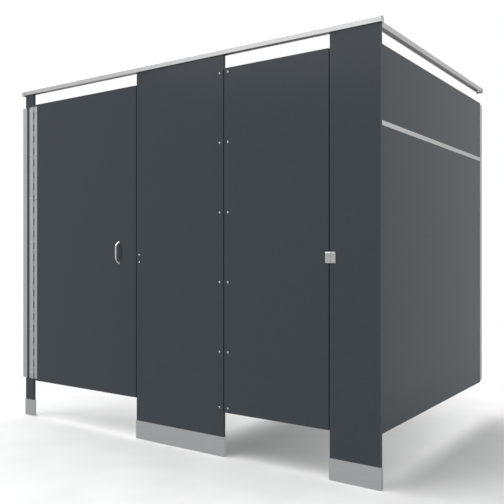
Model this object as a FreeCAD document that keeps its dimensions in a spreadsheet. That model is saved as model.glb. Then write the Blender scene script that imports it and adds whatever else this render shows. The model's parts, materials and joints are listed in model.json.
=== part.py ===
"""Floor-mounted, overhead-braced toilet partition with two compartments.

X runs along the front from the left wall, Y from the front to the rear wall, and Z is up.
The origin lies on the floor, in the middle of the whole partition. All sizes are in millimetres.
"""

import FreeCAD
import Part
import Sketcher
import math
import os

# Driving dimensions, one named value each
SIZES = {
    # Boards along the front, left to right
    "board": 19,
    "wall_gap": 26,
    "left_pilaster_width": 76,
    "door_gap": 5,
    "wide_door_width": 914,
    "centre_pilaster_width": 619,
    "narrow_door_width": 610,
    "end_pilaster_width": 255,
    # Heights and depths of the boards
    "board_lift": 229,
    "door_height": 1778,
    "pilaster_lift": 60,
    "stall_depth": 1618,
    "panel_front_gap": 10,
    "end_panel_inset": 28,
    "lower_board_height": 1416,
    # Channels that hold the boards' edges, and the bars that join two boards
    "edge_inset": 13,
    "channel_depth": 42,
    "channel_wall": 2,
    "channel_play": 0.3,
    "channel_bolt_end": 50,
    "wall_hole_radius": 3.5,
    "wall_hole_end": 100,
    "wall_hole_spacing": 500,
    "joint_bar_height": 23,
    "joint_bar_wall": 2,
    "joint_bar_web": 3,
    "joint_bar_end_gap": 0.5,
    # Headrails
    "rail_bottom": 2078,
    "rail_width": 32,
    "rail_face": 25,
    "rail_ridge": 8,
    "rail_wall": 2.5,
    "rail_grip": 17,
    "rail_play": 0.5,
    "rail_overhang": 5,
    "rail_cap": 3,
    "rail_screw_inset": 38,
    "rail_bracket_gap": 2,
    "rail_bracket_height": 22,
    "rail_bracket_wall": 3,
    "rail_bracket_play": 0.3,
    "rail_hole_spacing": 18,
    "corner_leg": 40,
    "corner_height": 16,
    # Shoes and levelling feet
    "shoe_height": 102,
    "shoe_wall": 2,
    "shoe_play": 0.8,
    "shoe_screw_drop": 12,
    "foot_inset": 60,
    "foot_length": 70,
    "foot_width": 18,
    "foot_thickness": 5,
    "stud_radius": 5,
    "stud_top": 75,
    "stud_play": 0.4,
    "nut_radius": 9,
    "nut_height": 8,
    "levelling_bar": 10,
    "levelling_bar_inset": 3,
    "levelling_screw_inset": 12,
    "anchor_hole_radius": 3.5,
    "anchor_spacing": 46,
    # Piano hinges
    "leaf_width": 38,
    "leaf_thickness": 2,
    "barrel_radius": 6,
    "pin_radius": 3,
    "pin_play": 0.05,
    "knuckle_count": 46,
    "knuckle_gap": 1.6,
    "knuckle_play": 3,
    "hinge_bolt_reach": 27,
    "left_hinge_bolt_end": 30,
    "left_hinge_bolt_pitch": 282,
    "right_hinge_bolt_end": 10,
    "right_hinge_bolt_pitch": 361,
    # Bolts and screws
    "bolt_radius": 3,
    "bolt_head_radius": 5.5,
    "bolt_head_top": 4,
    "bolt_head_height": 2.2,
    "screw_radius": 2,
    "screw_head_radius": 4,
    "screw_head_top": 2.8,
    "screw_head_height": 1.8,
    "screw_depth": 11,
    "fastener_play": 0.2,
    # Keepers and strike
    "left_latch_height": 1021,
    "right_latch_height": 1032,
    "keeper_edge": 3,
    "keeper_width": 35,
    "keeper_height": 80,
    "keeper_plate": 3,
    "keeper_bolt_inset": 20.5,
    "keeper_bolt_spacing": 40,
    "loop_edge": 9,
    "loop_width": 20,
    "loop_wall": 3.5,
    "loop_play": 2.5,
    "stop_lip_height": 13,
    "stop_lip_root": 10,
    "stop_overlap": 14,
    "buffer_inset": 2,
    "buffer_play": 0.3,
    "strike_height": 52,
    "strike_width": 32,
    "strike_overlap": 14.5,
    "strike_root": 6.5,
    "strike_block": 4.5,
    "strike_bevel": 2.5,
    "strike_buffer": 2.2,
    # Slide latches
    "latch_case_setback": 18,
    "latch_case_length": 68,
    "latch_case_height": 44,
    "latch_case_wall": 6,
    "latch_screw_inset": 6,
    "latch_bolt_height": 14,
    "latch_bolt_thickness": 8,
    "latch_bolt_length": 75,
    "latch_bolt_setback": 3,
    "latch_bolt_play": 0.3,
    "latch_throw": 28,
    "knob_setback": 66,
    "knob_neck_radius": 4,
    "knob_neck_length": 9,
    "knob_radius": 10,
    "knob_top_radius": 8.5,
    "knob_length": 12,
    # Pull handle
    "pull_edge": 138,
    "pull_height": 1054,
    "pull_feet": 118,
    "pull_straight": 78,
    "pull_projection": 23.25,
    "pull_bar_radius": 6,
    "pull_bend_radius": 16,
    "pull_rose_radius": 8,
    "pull_rose_thickness": 2,
    "pull_thread_depth": 4,
    # Coat hooks
    "hook_height": 1650,
    "hook_plate_height": 70,
    "hook_plate": 4,
    "hook_width": 25,
    "hook_reach": 50,
    "hook_arm": 6,
    "hook_arm_rise": 8,
    "hook_tip": 26,
    "hook_screw_low": 28,
    "hook_screw_high": 60,
    "hook_buffer_radius": 9,
    "hook_buffer_length": 11,
    # How far a cutting tool runs past the face it starts from
    "overrun": 4,
}

# Places worked out from the sizes: x along the front, y into the stalls, z above the floor
PLACES = {
    "front_run": "Sizes.wall_gap + Sizes.left_pilaster_width + Sizes.wide_door_width"
                 " + Sizes.centre_pilaster_width + Sizes.narrow_door_width + Sizes.end_pilaster_width"
                 " + 4 * Sizes.door_gap",
    "wall_x": "-(front_run + Sizes.rail_overhang) / 2",
    "left_pilaster_x": "wall_x + Sizes.wall_gap",
    "left_hinge_x": "left_pilaster_x + Sizes.left_pilaster_width + Sizes.door_gap / 2",
    "wide_door_x": "left_hinge_x + Sizes.door_gap / 2",
    "wide_door_edge": "wide_door_x + Sizes.wide_door_width",
    "centre_pilaster_x": "wide_door_edge + Sizes.door_gap",
    "divider_x": "centre_pilaster_x + Sizes.centre_pilaster_width / 2",
    "right_hinge_x": "centre_pilaster_x + Sizes.centre_pilaster_width + Sizes.door_gap / 2",
    "narrow_door_x": "right_hinge_x + Sizes.door_gap / 2",
    "narrow_door_edge": "narrow_door_x + Sizes.narrow_door_width",
    "end_pilaster_x": "narrow_door_edge + Sizes.door_gap",
    "end_x": "end_pilaster_x + Sizes.end_pilaster_width",
    "end_panel_x": "end_x - Sizes.end_panel_inset - Sizes.board / 2",
    "rail_end": "end_x + Sizes.rail_overhang",
    "pull_x": "wide_door_edge - Sizes.pull_edge",
    "front_y": "(Sizes.pull_projection + Sizes.pull_bar_radius - Sizes.stall_depth) / 2",
    "mid_y": "front_y + Sizes.board / 2",
    "back_y": "front_y + Sizes.board",
    "wall_y": "front_y + Sizes.stall_depth",
    "rail_front": "mid_y - Sizes.rail_width / 2",
    "rail_back": "mid_y + Sizes.rail_width / 2",
    "rail_bracket_depth": "Sizes.wall_gap - Sizes.rail_bracket_gap",
    "panel_front": "back_y + Sizes.panel_front_gap",
    "panel_back": "wall_y - Sizes.wall_gap",
    "board_top": "Sizes.board_lift + Sizes.door_height",
    "lower_board_top": "Sizes.board_lift + Sizes.lower_board_height",
    "upper_board_z": "lower_board_top + Sizes.joint_bar_web",
    "edge_z": "Sizes.board_lift + Sizes.edge_inset",
    "edge_length": "Sizes.door_height - 2 * Sizes.edge_inset",
    "edge_top": "edge_z + edge_length",
    "knuckle": "edge_length / Sizes.knuckle_count",
    "pilaster_top": "Sizes.rail_bottom + Sizes.rail_grip",
    "pilaster_height": "pilaster_top - Sizes.pilaster_lift",
    "latch_front": "back_y + Sizes.latch_case_wall",
    "latch_back": "latch_front + Sizes.latch_bolt_thickness",
    "latch_case_back": "latch_back + Sizes.latch_case_wall",
    "bolt_hole": "Sizes.bolt_radius + Sizes.fastener_play",
    "screw_hole": "Sizes.screw_radius + Sizes.fastener_play",
}

CHANNEL_BOLT_ROWS = 4

doc = FreeCAD.newDocument("ToiletPartition")
sheet = doc.addObject("Spreadsheet::Sheet", "Sizes")
for row, (name, value) in enumerate(SIZES.items(), start=1):
    sheet.set(f"A{row}", name)
    sheet.set(f"B{row}", str(value))
    sheet.setAlias(f"B{row}", name)
doc.recompute()

places = doc.addObject("App::VarSet", "Places")
for name in PLACES:
    places.addProperty("App::PropertyFloat", name)
for name, formula in PLACES.items():
    places.setExpression(name, formula)
doc.recompute()

PIECES = []
AXES = ("x", "y", "z")
TURN_TO = {
    "x": FreeCAD.Rotation(FreeCAD.Vector(0, 1, 0), 90),
    "y": FreeCAD.Rotation(FreeCAD.Vector(1, 0, 0), -90),
    "z": FreeCAD.Rotation(),
}


# Building blocks

def piece(item, label):
    """Name an object as one of the finished sub-parts."""
    item.Label = label
    PIECES.append(item)
    return item


def place(item, at, turn=None):
    """Put an object's own origin at three formulas, turned once."""
    if turn is not None:
        item.Placement = FreeCAD.Placement(FreeCAD.Vector(), turn)
    for axis, formula in zip(AXES, at):
        item.setExpression(f"Placement.Base.{axis}", formula)
    return item


def moved(at, along, by):
    """The same point, shifted along one axis by a formula."""
    return [f"{formula} + ({by})" if axis == along else formula for axis, formula in zip(AXES, at)]


def block(size, at):
    """A rectangular solid from its three sides and its lowest corner."""
    solid = doc.addObject("Part::Box", "Block")
    for side, formula in zip(("Length", "Width", "Height"), size):
        solid.setExpression(side, formula)
    return place(solid, at)


def rod(radius, length, at, along):
    """A round bar that starts at a point and runs along one axis."""
    solid = doc.addObject("Part::Cylinder", "Rod")
    solid.setExpression("Radius", radius)
    solid.setExpression("Height", length)
    return place(solid, at, TURN_TO[along])


def taper(start_radius, end_radius, length, at, along):
    """A round bar whose radius changes from its start to its end."""
    solid = doc.addObject("Part::Cone", "Taper")
    solid.setExpression("Radius1", start_radius)
    solid.setExpression("Radius2", end_radius)
    solid.setExpression("Height", length)
    return place(solid, at, TURN_TO[along])


def joined(solids):
    """Several solids made into one."""
    fuse = doc.addObject("Part::MultiFuse", "Joined")
    fuse.Shapes = solids
    fuse.Refine = True
    return fuse


def grouped(solids):
    """Several solids kept apart in one object."""
    group = doc.addObject("Part::Compound", "Group")
    group.Links = solids
    return group


def without(base, tools):
    """A solid with other solids taken out of it."""
    cut = doc.addObject("Part::Cut", "Shaped")
    cut.Base = base
    cut.Tool = grouped(tools)
    cut.Refine = True
    return cut


def outline(sketch, corners):
    """Draw a closed outline whose corners are tied to formulas."""
    points = [FreeCAD.Vector(*(float(sketch.evalExpression(formula)) for formula in corner), 0)
              for corner in corners]
    first = sketch.GeometryCount
    for index, point in enumerate(points):
        sketch.addGeometry(Part.LineSegment(point, points[(index + 1) % len(points)]), False)
    for index, corner in enumerate(corners):
        line = first + index
        following = first + (index + 1) % len(corners)
        sketch.addConstraint(Sketcher.Constraint("Coincident", line, 2, following, 1))
        for kind, formula in zip(("DistanceX", "DistanceY"), corner):
            value = float(sketch.evalExpression(formula))
            number = sketch.addConstraint(Sketcher.Constraint(kind, -1, 1, line, 1, value))
            sketch.setExpression(f"Constraints[{number}]", formula)


def extrusion(outlines, plane, length, at):
    """A body padded from outlines drawn on one of its own origin planes."""
    body = doc.addObject("PartDesign::Body", "Extrusion")
    sketch = body.newObject("Sketcher::SketchObject", "Section")
    support = next(item for item in body.Origin.OriginFeatures if item.Role == plane)
    sketch.AttachmentSupport = (support, [""])
    sketch.MapMode = "FlatFace"
    for corners in outlines:
        outline(sketch, corners)
    pad = body.newObject("PartDesign::Pad", "Pad")
    pad.Profile = sketch
    pad.Reversed = plane == "XZ_Plane"
    pad.setExpression("Length", length)
    return place(body, at)


def through_bolt(at, grip, along):
    """A bolt and its cap nut done up, with the near head's face at a point and the grip between the heads."""
    near = taper("Sizes.bolt_head_top", "Sizes.bolt_head_radius", "Sizes.bolt_head_height",
                 moved(at, along, "-Sizes.bolt_head_height"), along)
    far = taper("Sizes.bolt_head_radius", "Sizes.bolt_head_top", "Sizes.bolt_head_height",
                moved(at, along, grip), along)
    return joined([rod("Sizes.bolt_radius", grip, at, along), near, far])


def screw(at, depth, along, forwards):
    """A screw whose head seats at a point, driven along an axis, forwards or backwards."""
    sizes = ("Sizes.screw_head_top", "Sizes.screw_head_radius")
    if forwards:
        shank = rod("Sizes.screw_radius", depth, at, along)
        head = taper(*sizes, "Sizes.screw_head_height", moved(at, along, "-Sizes.screw_head_height"), along)
    else:
        shank = rod("Sizes.screw_radius", depth, moved(at, along, f"-({depth})"), along)
        head = taper(*reversed(sizes), "Sizes.screw_head_height", at, along)
    return joined([shank, head])


def bore(radius, at, depth, along):
    """A cutting tool for a hole of a given depth, run past the face that it starts from."""
    return rod(radius, f"{depth} + Sizes.overrun", moved(at, along, "-Sizes.overrun"), along)


def through_bore(radius, at, depth, along):
    """A cutting tool for a hole that goes right through."""
    return bore(radius, at, f"{depth} + Sizes.overrun", along)


# Where the bolts and screws go: lists of points shared by the fasteners and their holes

def value_of(formula):
    """The present value of a formula."""
    return float(sheet.evalExpression(formula))


def hinge_rows(name):
    """Heights of a hinge's bolts: a fixed pitch from the top, and a last row at the bottom end."""
    end, pitch = f"Sizes.{name}_hinge_bolt_end", f"Sizes.{name}_hinge_bolt_pitch"
    span = value_of(f"Places.edge_length - 2 * {end}")
    spare = value_of("4 * Sizes.bolt_head_radius")
    count = 1 + int((span - spare) // value_of(pitch))
    rows = [f"Places.edge_top - {end} - {number} * {pitch}" for number in range(count)]
    return rows + [f"Places.edge_z + {end}"]


def channel_rows():
    """Heights of the bolts or screws along a channel's flanges, evenly spaced."""
    step = f"(Places.edge_length - 2 * Sizes.channel_bolt_end) / {CHANNEL_BOLT_ROWS - 1}"
    return [f"Places.edge_z + Sizes.channel_bolt_end + {number} * {step}"
            for number in range(CHANNEL_BOLT_ROWS)]


def wall_hole_rows():
    """Heights of the wall fixing holes: a pair near each end of a channel."""
    low = "Places.edge_z + Sizes.wall_hole_end"
    high = "Places.edge_top - Sizes.wall_hole_end"
    return [low, f"{low} + Sizes.wall_hole_spacing", f"{high} - Sizes.wall_hole_spacing", high]


PANELS = {"divider": "Places.divider_x", "end_panel": "Places.end_panel_x"}
PANEL_FRONT_BOLT = "Places.back_y + (Sizes.panel_front_gap + Sizes.channel_depth) / 2"
PANEL_BACK_BOLT = "Places.wall_y - (Sizes.wall_gap + Sizes.channel_depth) / 2"
LEFT_CHANNEL_SCREW = "Places.wall_x + (Sizes.wall_gap + Sizes.channel_depth) / 2"
CHANNEL_GRIP = "Sizes.board + 2 * (Sizes.channel_play + Sizes.channel_wall)"
CHANNEL_SIDE = "(Sizes.board / 2 + Sizes.channel_play + Sizes.channel_wall)"
LEFT_HINGE_FRAME = "Places.left_hinge_x - Sizes.hinge_bolt_reach"
LEFT_HINGE_DOOR = "Places.left_hinge_x + Sizes.hinge_bolt_reach"
RIGHT_HINGE_FRAME = "Places.right_hinge_x - Sizes.hinge_bolt_reach"
RIGHT_HINGE_DOOR = "Places.right_hinge_x + Sizes.hinge_bolt_reach"
HOOKS = {
    "wide_door": "Places.wide_door_x + Sizes.wide_door_width / 2",
    "narrow_door": "Places.narrow_door_x + Sizes.narrow_door_width / 2",
}
PILASTERS = {
    "left": ("Places.left_pilaster_x", "Sizes.left_pilaster_width"),
    "centre": ("Places.centre_pilaster_x", "Sizes.centre_pilaster_width"),
    "end": ("Places.end_pilaster_x", "Sizes.end_pilaster_width"),
}
FEET = {
    "left": ["Places.left_pilaster_x + Sizes.left_pilaster_width / 2"],
    "centre": ["Places.centre_pilaster_x + Sizes.foot_inset",
               "Places.centre_pilaster_x + Sizes.centre_pilaster_width - Sizes.foot_inset"],
    "end": ["Places.end_pilaster_x + Sizes.foot_inset",
            "Places.end_pilaster_x + Sizes.end_pilaster_width - Sizes.foot_inset"],
}
RAIL_SCREWS = {
    "left": ["Places.left_pilaster_x + Sizes.rail_screw_inset"],
    "centre": ["Places.centre_pilaster_x + Sizes.rail_screw_inset",
               "Places.centre_pilaster_x + Sizes.centre_pilaster_width - Sizes.rail_screw_inset"],
    "end": ["Places.end_pilaster_x + Sizes.rail_screw_inset"],
}
RAIL_SCREW_Z = "Sizes.rail_bottom + Sizes.rail_grip / 2"
SHOE_SCREW_Z = "Sizes.shoe_height - Sizes.shoe_screw_drop"
PULL_FEET = ["Sizes.pull_height - Sizes.pull_feet / 2", "Sizes.pull_height + Sizes.pull_feet / 2"]


def front_bores(x, heights):
    """Bolt holes through a front board at one x and several heights."""
    return [through_bore("Places.bolt_hole", [x, "Places.front_y", z], "Sizes.board", "y") for z in heights]


def rear_screw_bore(x, z):
    """A screw hole in the inner face of a front board."""
    depth = "Sizes.screw_depth + Sizes.fastener_play"
    return rod("Places.screw_hole", f"{depth} + Sizes.overrun", [x, f"Places.back_y - ({depth})", z], "y")


def keeper_bolt_rows(latch_height):
    """Heights of a keeper's two bolts."""
    return [f"{latch_height} {sign} Sizes.keeper_bolt_spacing / 2" for sign in "-+"]


def latch_screws_at(door_edge, latch_height):
    """The four corners of a latch case, where its screws go."""
    near = f"{door_edge} - Sizes.latch_case_setback - Sizes.latch_screw_inset"
    far = f"{door_edge} - Sizes.latch_case_setback - Sizes.latch_case_length + Sizes.latch_screw_inset"
    rise = "(Sizes.latch_case_height / 2 - Sizes.latch_screw_inset)"
    return [(x, f"{latch_height} {sign} {rise}") for x in (near, far) for sign in "+-"]


def hook_screws_at(door):
    """The two points on a door where its coat hook is screwed."""
    return [(HOOKS[door], f"Sizes.hook_height + {rise}")
            for rise in ("Sizes.hook_screw_low", "Sizes.hook_screw_high")]


# Pilasters and doors

def make_pilaster(name, holes):
    """A pilaster board with the bolt holes that its fittings need."""
    x, width = PILASTERS[name]
    board = block([width, "Sizes.board", "Places.pilaster_height"],
                  [x, "Places.front_y", "Sizes.pilaster_lift"])
    studs = [bore("Sizes.stud_radius + Sizes.stud_play", [foot, "Places.mid_y", "Sizes.pilaster_lift"],
                  "Sizes.stud_top + Sizes.stud_play - Sizes.pilaster_lift", "z") for foot in FEET[name]]
    screws = [rear_screw_bore(at, RAIL_SCREW_Z) for at in RAIL_SCREWS[name]]
    screws.append(rear_screw_bore(f"{x} + {width} / 2", SHOE_SCREW_Z))
    for at in levelling_screws_at(name):
        screws.append(bore("Places.screw_hole", [at, "Places.mid_y", "Sizes.pilaster_lift"],
                           "Sizes.screw_depth + Sizes.fastener_play", "z"))
    piece(without(board, studs + screws + holes), f"{name}_pilaster")


def levelling_screws_at(name):
    """Where a levelling bar is screwed to the foot of its pilaster: near its two ends."""
    x, width = PILASTERS[name]
    return [f"{x} + Sizes.levelling_screw_inset", f"{x} + {width} - Sizes.levelling_screw_inset"]


def make_door(name, latch_edge, latch_height, holes):
    """A door board with holes for its latch and coat hook, and the holes given for its other fittings."""
    board = block([f"Sizes.{name}_width", "Sizes.board", "Sizes.door_height"],
                  [f"Places.{name}_x", "Places.front_y", "Sizes.board_lift"])
    screws = latch_screws_at(latch_edge, latch_height) + hook_screws_at(name)
    piece(without(board, holes + [rear_screw_bore(x, z) for x, z in screws]), name)


make_pilaster("left", [rear_screw_bore(LEFT_CHANNEL_SCREW, z) for z in channel_rows()]
              + front_bores(LEFT_HINGE_FRAME, hinge_rows("left")))
make_pilaster("centre", front_bores(RIGHT_HINGE_FRAME, hinge_rows("right"))
              + front_bores("Places.centre_pilaster_x + Sizes.keeper_bolt_inset",
                            keeper_bolt_rows("Sizes.left_latch_height"))
              + [rear_screw_bore("Places.divider_x", z) for z in wall_hole_rows()])
make_pilaster("end", front_bores("Places.end_pilaster_x + Sizes.keeper_bolt_inset",
                                 keeper_bolt_rows("Sizes.right_latch_height"))
              + [rear_screw_bore("Places.end_panel_x", z) for z in wall_hole_rows()])
make_door("wide_door", "Places.wide_door_edge", "Sizes.left_latch_height",
          front_bores(LEFT_HINGE_DOOR, hinge_rows("left"))
          + [through_bore("Places.screw_hole", ["Places.pull_x", "Places.front_y", z], "Sizes.board", "y")
             for z in PULL_FEET])
make_door("narrow_door", "Places.narrow_door_edge", "Sizes.right_latch_height",
          front_bores(RIGHT_HINGE_DOOR, hinge_rows("right")))


# Divider and end panel: two boards each, joined by a bar and held in channels

def make_panel(name, centre):
    """The two boards of a panel, its joint bar and its channels at the pilaster and at the wall."""
    side = f"{centre} - Sizes.board / 2"
    length = "Places.panel_back - Places.panel_front"
    bolts = [through_bore("Places.bolt_hole", [side, y, z], "Sizes.board", "x")
             for y in (PANEL_FRONT_BOLT, PANEL_BACK_BOLT) for z in channel_rows()]
    lower = block(["Sizes.board", length, "Sizes.lower_board_height"],
                  [side, "Places.panel_front", "Sizes.board_lift"])
    upper = block(["Sizes.board", length, "Places.board_top - Places.upper_board_z"],
                  [side, "Places.panel_front", "Places.upper_board_z"])
    piece(without(lower, bolts), f"{name}_lower_board")
    piece(without(upper, bolts), f"{name}_upper_board")

    half = "(Sizes.board / 2 + Sizes.channel_play)"
    outer = f"({half} + Sizes.joint_bar_wall)"
    low = "0"
    web_low = "(Sizes.joint_bar_height - Sizes.joint_bar_web) / 2"
    web_high = "(Sizes.joint_bar_height + Sizes.joint_bar_web) / 2"
    high = "Sizes.joint_bar_height"
    inner_left = f"{outer} - {half}"
    inner_right = f"{outer} + {half}"
    right = f"2 * {outer}"
    section = [("0", low), (inner_left, low), (inner_left, web_low), (inner_right, web_low),
               (inner_right, low), (right, low), (right, high), (inner_right, high),
               (inner_right, web_high), (inner_left, web_high), (inner_left, high), ("0", high)]
    start = "Places.back_y + Sizes.channel_depth + Sizes.joint_bar_end_gap"
    end = "Places.wall_y - Sizes.channel_depth - Sizes.joint_bar_end_gap"
    bar_z = "Places.lower_board_top - (Sizes.joint_bar_height - Sizes.joint_bar_web) / 2"
    piece(extrusion([section], "XZ_Plane", f"{end} - ({start})", [f"{centre} - {outer}", start, bar_z]),
          f"{name}_joint_bar")

    channel_x = f"{centre} - {CHANNEL_SIDE}"
    bolt_holes = [through_bore("Places.bolt_hole", [channel_x, y, z], CHANNEL_GRIP, "x")
                  for y in (PANEL_FRONT_BOLT, PANEL_BACK_BOLT) for z in channel_rows()]
    screw_holes = [through_bore("Places.screw_hole", [centre, "Places.back_y", z], "Sizes.channel_wall", "y")
                   for z in wall_hole_rows()]
    wall_holes = [through_bore("Sizes.wall_hole_radius", [centre, "Places.wall_y - Sizes.channel_wall", z],
                               "Sizes.channel_wall", "y") for z in wall_hole_rows()]
    at_pilaster = extrusion([channel_section("front")], "XY_Plane", "Places.edge_length",
                            [channel_x, "Places.back_y", "Places.edge_z"])
    at_wall = extrusion([channel_section("rear")], "XY_Plane", "Places.edge_length",
                        [channel_x, "Places.wall_y - Sizes.channel_depth", "Places.edge_z"])
    piece(without(at_pilaster, bolt_holes + screw_holes), f"{name}_pilaster_channel")
    piece(without(at_wall, bolt_holes + wall_holes), f"{name}_wall_channel")


def channel_section(web):
    """A channel's U outline, with its web on the left, at the front or at the rear."""
    near, wall = "0", "Sizes.channel_wall"
    far_wall = f"{CHANNEL_GRIP} - Sizes.channel_wall"
    depth, end = "Sizes.channel_depth", CHANNEL_GRIP
    deep = "Sizes.channel_depth - Sizes.channel_wall"
    if web == "left":
        return [(near, near), (depth, near), (depth, wall), (wall, wall), (wall, far_wall), (depth, far_wall),
                (depth, end), (near, end)]
    if web == "front":
        return [(near, near), (end, near), (end, depth), (far_wall, depth), (far_wall, wall), (wall, wall),
                (wall, depth), (near, depth)]
    return [(near, depth), (near, near), (wall, near), (wall, deep), (far_wall, deep), (far_wall, near),
            (end, near), (end, depth)]


for panel, centre in PANELS.items():
    make_panel(panel, centre)

left_channel = extrusion([channel_section("left")], "XY_Plane", "Places.edge_length",
                         ["Places.wall_x", f"Places.mid_y - {CHANNEL_SIDE}", "Places.edge_z"])
left_screws_at = [[LEFT_CHANNEL_SCREW, f"Places.mid_y + {CHANNEL_SIDE}", z] for z in channel_rows()]
left_channel_holes = [through_bore("Places.screw_hole", moved(at, "y", "-Sizes.channel_wall"),
                                   "Sizes.channel_wall", "y") for at in left_screws_at]
left_channel_holes += [through_bore("Sizes.wall_hole_radius", ["Places.wall_x", "Places.mid_y", z],
                                    "Sizes.channel_wall", "x") for z in wall_hole_rows()]
piece(without(left_channel, left_channel_holes), "left_wall_channel")

channel_bolts = [through_bolt([f"{centre} - {CHANNEL_SIDE}", y, z], CHANNEL_GRIP, "x")
                 for centre in PANELS.values() for y in (PANEL_FRONT_BOLT, PANEL_BACK_BOLT)
                 for z in channel_rows()]
piece(grouped(channel_bolts), "channel_bolts")

channel_screws = [screw([centre, "Places.back_y + Sizes.channel_wall", z],
                        "Sizes.channel_wall + Sizes.screw_depth", "y", False)
                  for centre in PANELS.values() for z in wall_hole_rows()]
channel_screws += [screw(at, "Sizes.channel_wall + Sizes.channel_play + Sizes.screw_depth", "y", False)
                   for at in left_screws_at]
piece(grouped(channel_screws), "channel_screws")


# Headrails: a hollow section with a ridged top that sits on the pilasters

RAIL_EAVES = "Sizes.rail_face"
RAIL_PEAK = "(Sizes.rail_face + Sizes.rail_ridge)"
RAIL_OUTSIDE = [("0", "0"), ("Sizes.rail_width", "0"), ("Sizes.rail_width", RAIL_EAVES),
                ("Sizes.rail_width / 2", RAIL_PEAK), ("0", RAIL_EAVES)]


def rail_section():
    """The rail's outer outline with its slot for the pilasters, and the hollow under its ridge."""
    slot_left = "Sizes.rail_width / 2 - Sizes.board / 2 - Sizes.rail_play"
    slot_right = "Sizes.rail_width / 2 + Sizes.board / 2 + Sizes.rail_play"
    inner_left, inner_right = "Sizes.rail_wall", "Sizes.rail_width - Sizes.rail_wall"
    lip, ceiling = "Sizes.rail_wall", "Sizes.rail_grip"
    floor = "Sizes.rail_grip + Sizes.rail_wall"
    hollow_eaves = "Sizes.rail_face - Sizes.rail_wall / 2"
    hollow_peak = f"{RAIL_PEAK} - 1.5 * Sizes.rail_wall"
    outside = [("0", "0"), (slot_left, "0"), (slot_left, lip), (inner_left, lip), (inner_left, ceiling),
               (inner_right, ceiling), (inner_right, lip), (slot_right, lip), (slot_right, "0"),
               *RAIL_OUTSIDE[1:]]
    hollow = [(inner_left, floor), (inner_right, floor), (inner_right, hollow_eaves),
              ("Sizes.rail_width / 2", hollow_peak), (inner_left, hollow_eaves)]
    return [outside, hollow]


SIDE_RAIL_X = "(Places.end_panel_x - Sizes.rail_width / 2)"
CORNER_Z = "Sizes.rail_bottom + (Sizes.rail_face - Sizes.corner_height) / 2"
CORNER_SCREW_Z = "Sizes.rail_bottom + Sizes.rail_face / 2"
CORNER_SCREW_DEPTH = "Sizes.rail_bracket_wall + 2 * Sizes.rail_wall"
CORNER_FRONT = [f"{SIDE_RAIL_X} - Sizes.corner_leg / 2", "Places.rail_back + Sizes.rail_bracket_wall",
                CORNER_SCREW_Z]
CORNER_SIDE = [f"{SIDE_RAIL_X} - Sizes.rail_bracket_wall", "Places.rail_back + Sizes.corner_leg / 2",
               CORNER_SCREW_Z]

front_rail_x = "Places.wall_x + Sizes.rail_bracket_wall"
front_rail = extrusion(rail_section(), "YZ_Plane", f"Places.rail_end - Sizes.rail_cap - ({front_rail_x})",
                       [front_rail_x, "Places.rail_front", "Sizes.rail_bottom"])
rail_screws_at = [at for points in RAIL_SCREWS.values() for at in points]
front_rail_holes = [through_bore("Places.screw_hole",
                                 [at, "Places.rail_back - Sizes.rail_wall", RAIL_SCREW_Z],
                                 "Sizes.rail_wall", "y") for at in rail_screws_at]
corner_front_hole = through_bore("Places.screw_hole", moved(CORNER_FRONT, "y", f"-({CORNER_SCREW_DEPTH})"),
                                 CORNER_SCREW_DEPTH, "y")
corner_side_hole = through_bore("Places.screw_hole", CORNER_SIDE, CORNER_SCREW_DEPTH, "x")
piece(without(front_rail, front_rail_holes + [corner_front_hole]), "front_headrail")

side_rail = extrusion(rail_section(), "XZ_Plane",
                      "Places.wall_y - Sizes.rail_bracket_wall - Places.rail_back",
                      [SIDE_RAIL_X, "Places.rail_back", "Sizes.rail_bottom"])
piece(without(side_rail, [corner_side_hole]), "side_headrail")

end_cap = extrusion([RAIL_OUTSIDE], "YZ_Plane", "Sizes.rail_cap",
                    ["Places.rail_end - Sizes.rail_cap", "Places.rail_front", "Sizes.rail_bottom"])
piece(end_cap, "headrail_end_cap")

corner_section = [("0", "0"), ("Sizes.corner_leg", "0"), ("Sizes.corner_leg", "Sizes.corner_leg"),
                  ("Sizes.corner_leg - Sizes.rail_bracket_wall", "Sizes.corner_leg"),
                  ("Sizes.corner_leg - Sizes.rail_bracket_wall", "Sizes.rail_bracket_wall"),
                  ("0", "Sizes.rail_bracket_wall")]
corner = extrusion([corner_section], "XY_Plane", "Sizes.corner_height",
                   [f"{SIDE_RAIL_X} - Sizes.corner_leg", "Places.rail_back", CORNER_Z])
piece(without(corner, [corner_front_hole, corner_side_hole]), "headrail_corner_bracket")

rail_screw_depth = "Places.rail_back - Places.back_y + Sizes.screw_depth"
rail_screws = [screw([at, "Places.rail_back", RAIL_SCREW_Z], rail_screw_depth, "y", False)
               for at in rail_screws_at]
rail_screws.append(screw(CORNER_FRONT, CORNER_SCREW_DEPTH, "y", False))
rail_screws.append(screw(CORNER_SIDE, CORNER_SCREW_DEPTH, "x", True))
piece(grouped(rail_screws), "headrail_screws")

BRACKET_OUT = "(Sizes.rail_bracket_wall + Sizes.rail_bracket_play)"
BRACKET_WIDTH = f"Sizes.rail_width + 2 * {BRACKET_OUT}"
BRACKET_POCKET = "Sizes.rail_width + 2 * Sizes.rail_bracket_play"
BRACKET_Z = "Sizes.rail_bottom - Sizes.rail_bracket_wall"
BRACKET_HOLE_Z = "Sizes.rail_bottom + Sizes.rail_bracket_height / 2"
BRACKET_TALL = "Sizes.rail_bracket_height + Sizes.rail_bracket_wall"

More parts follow.
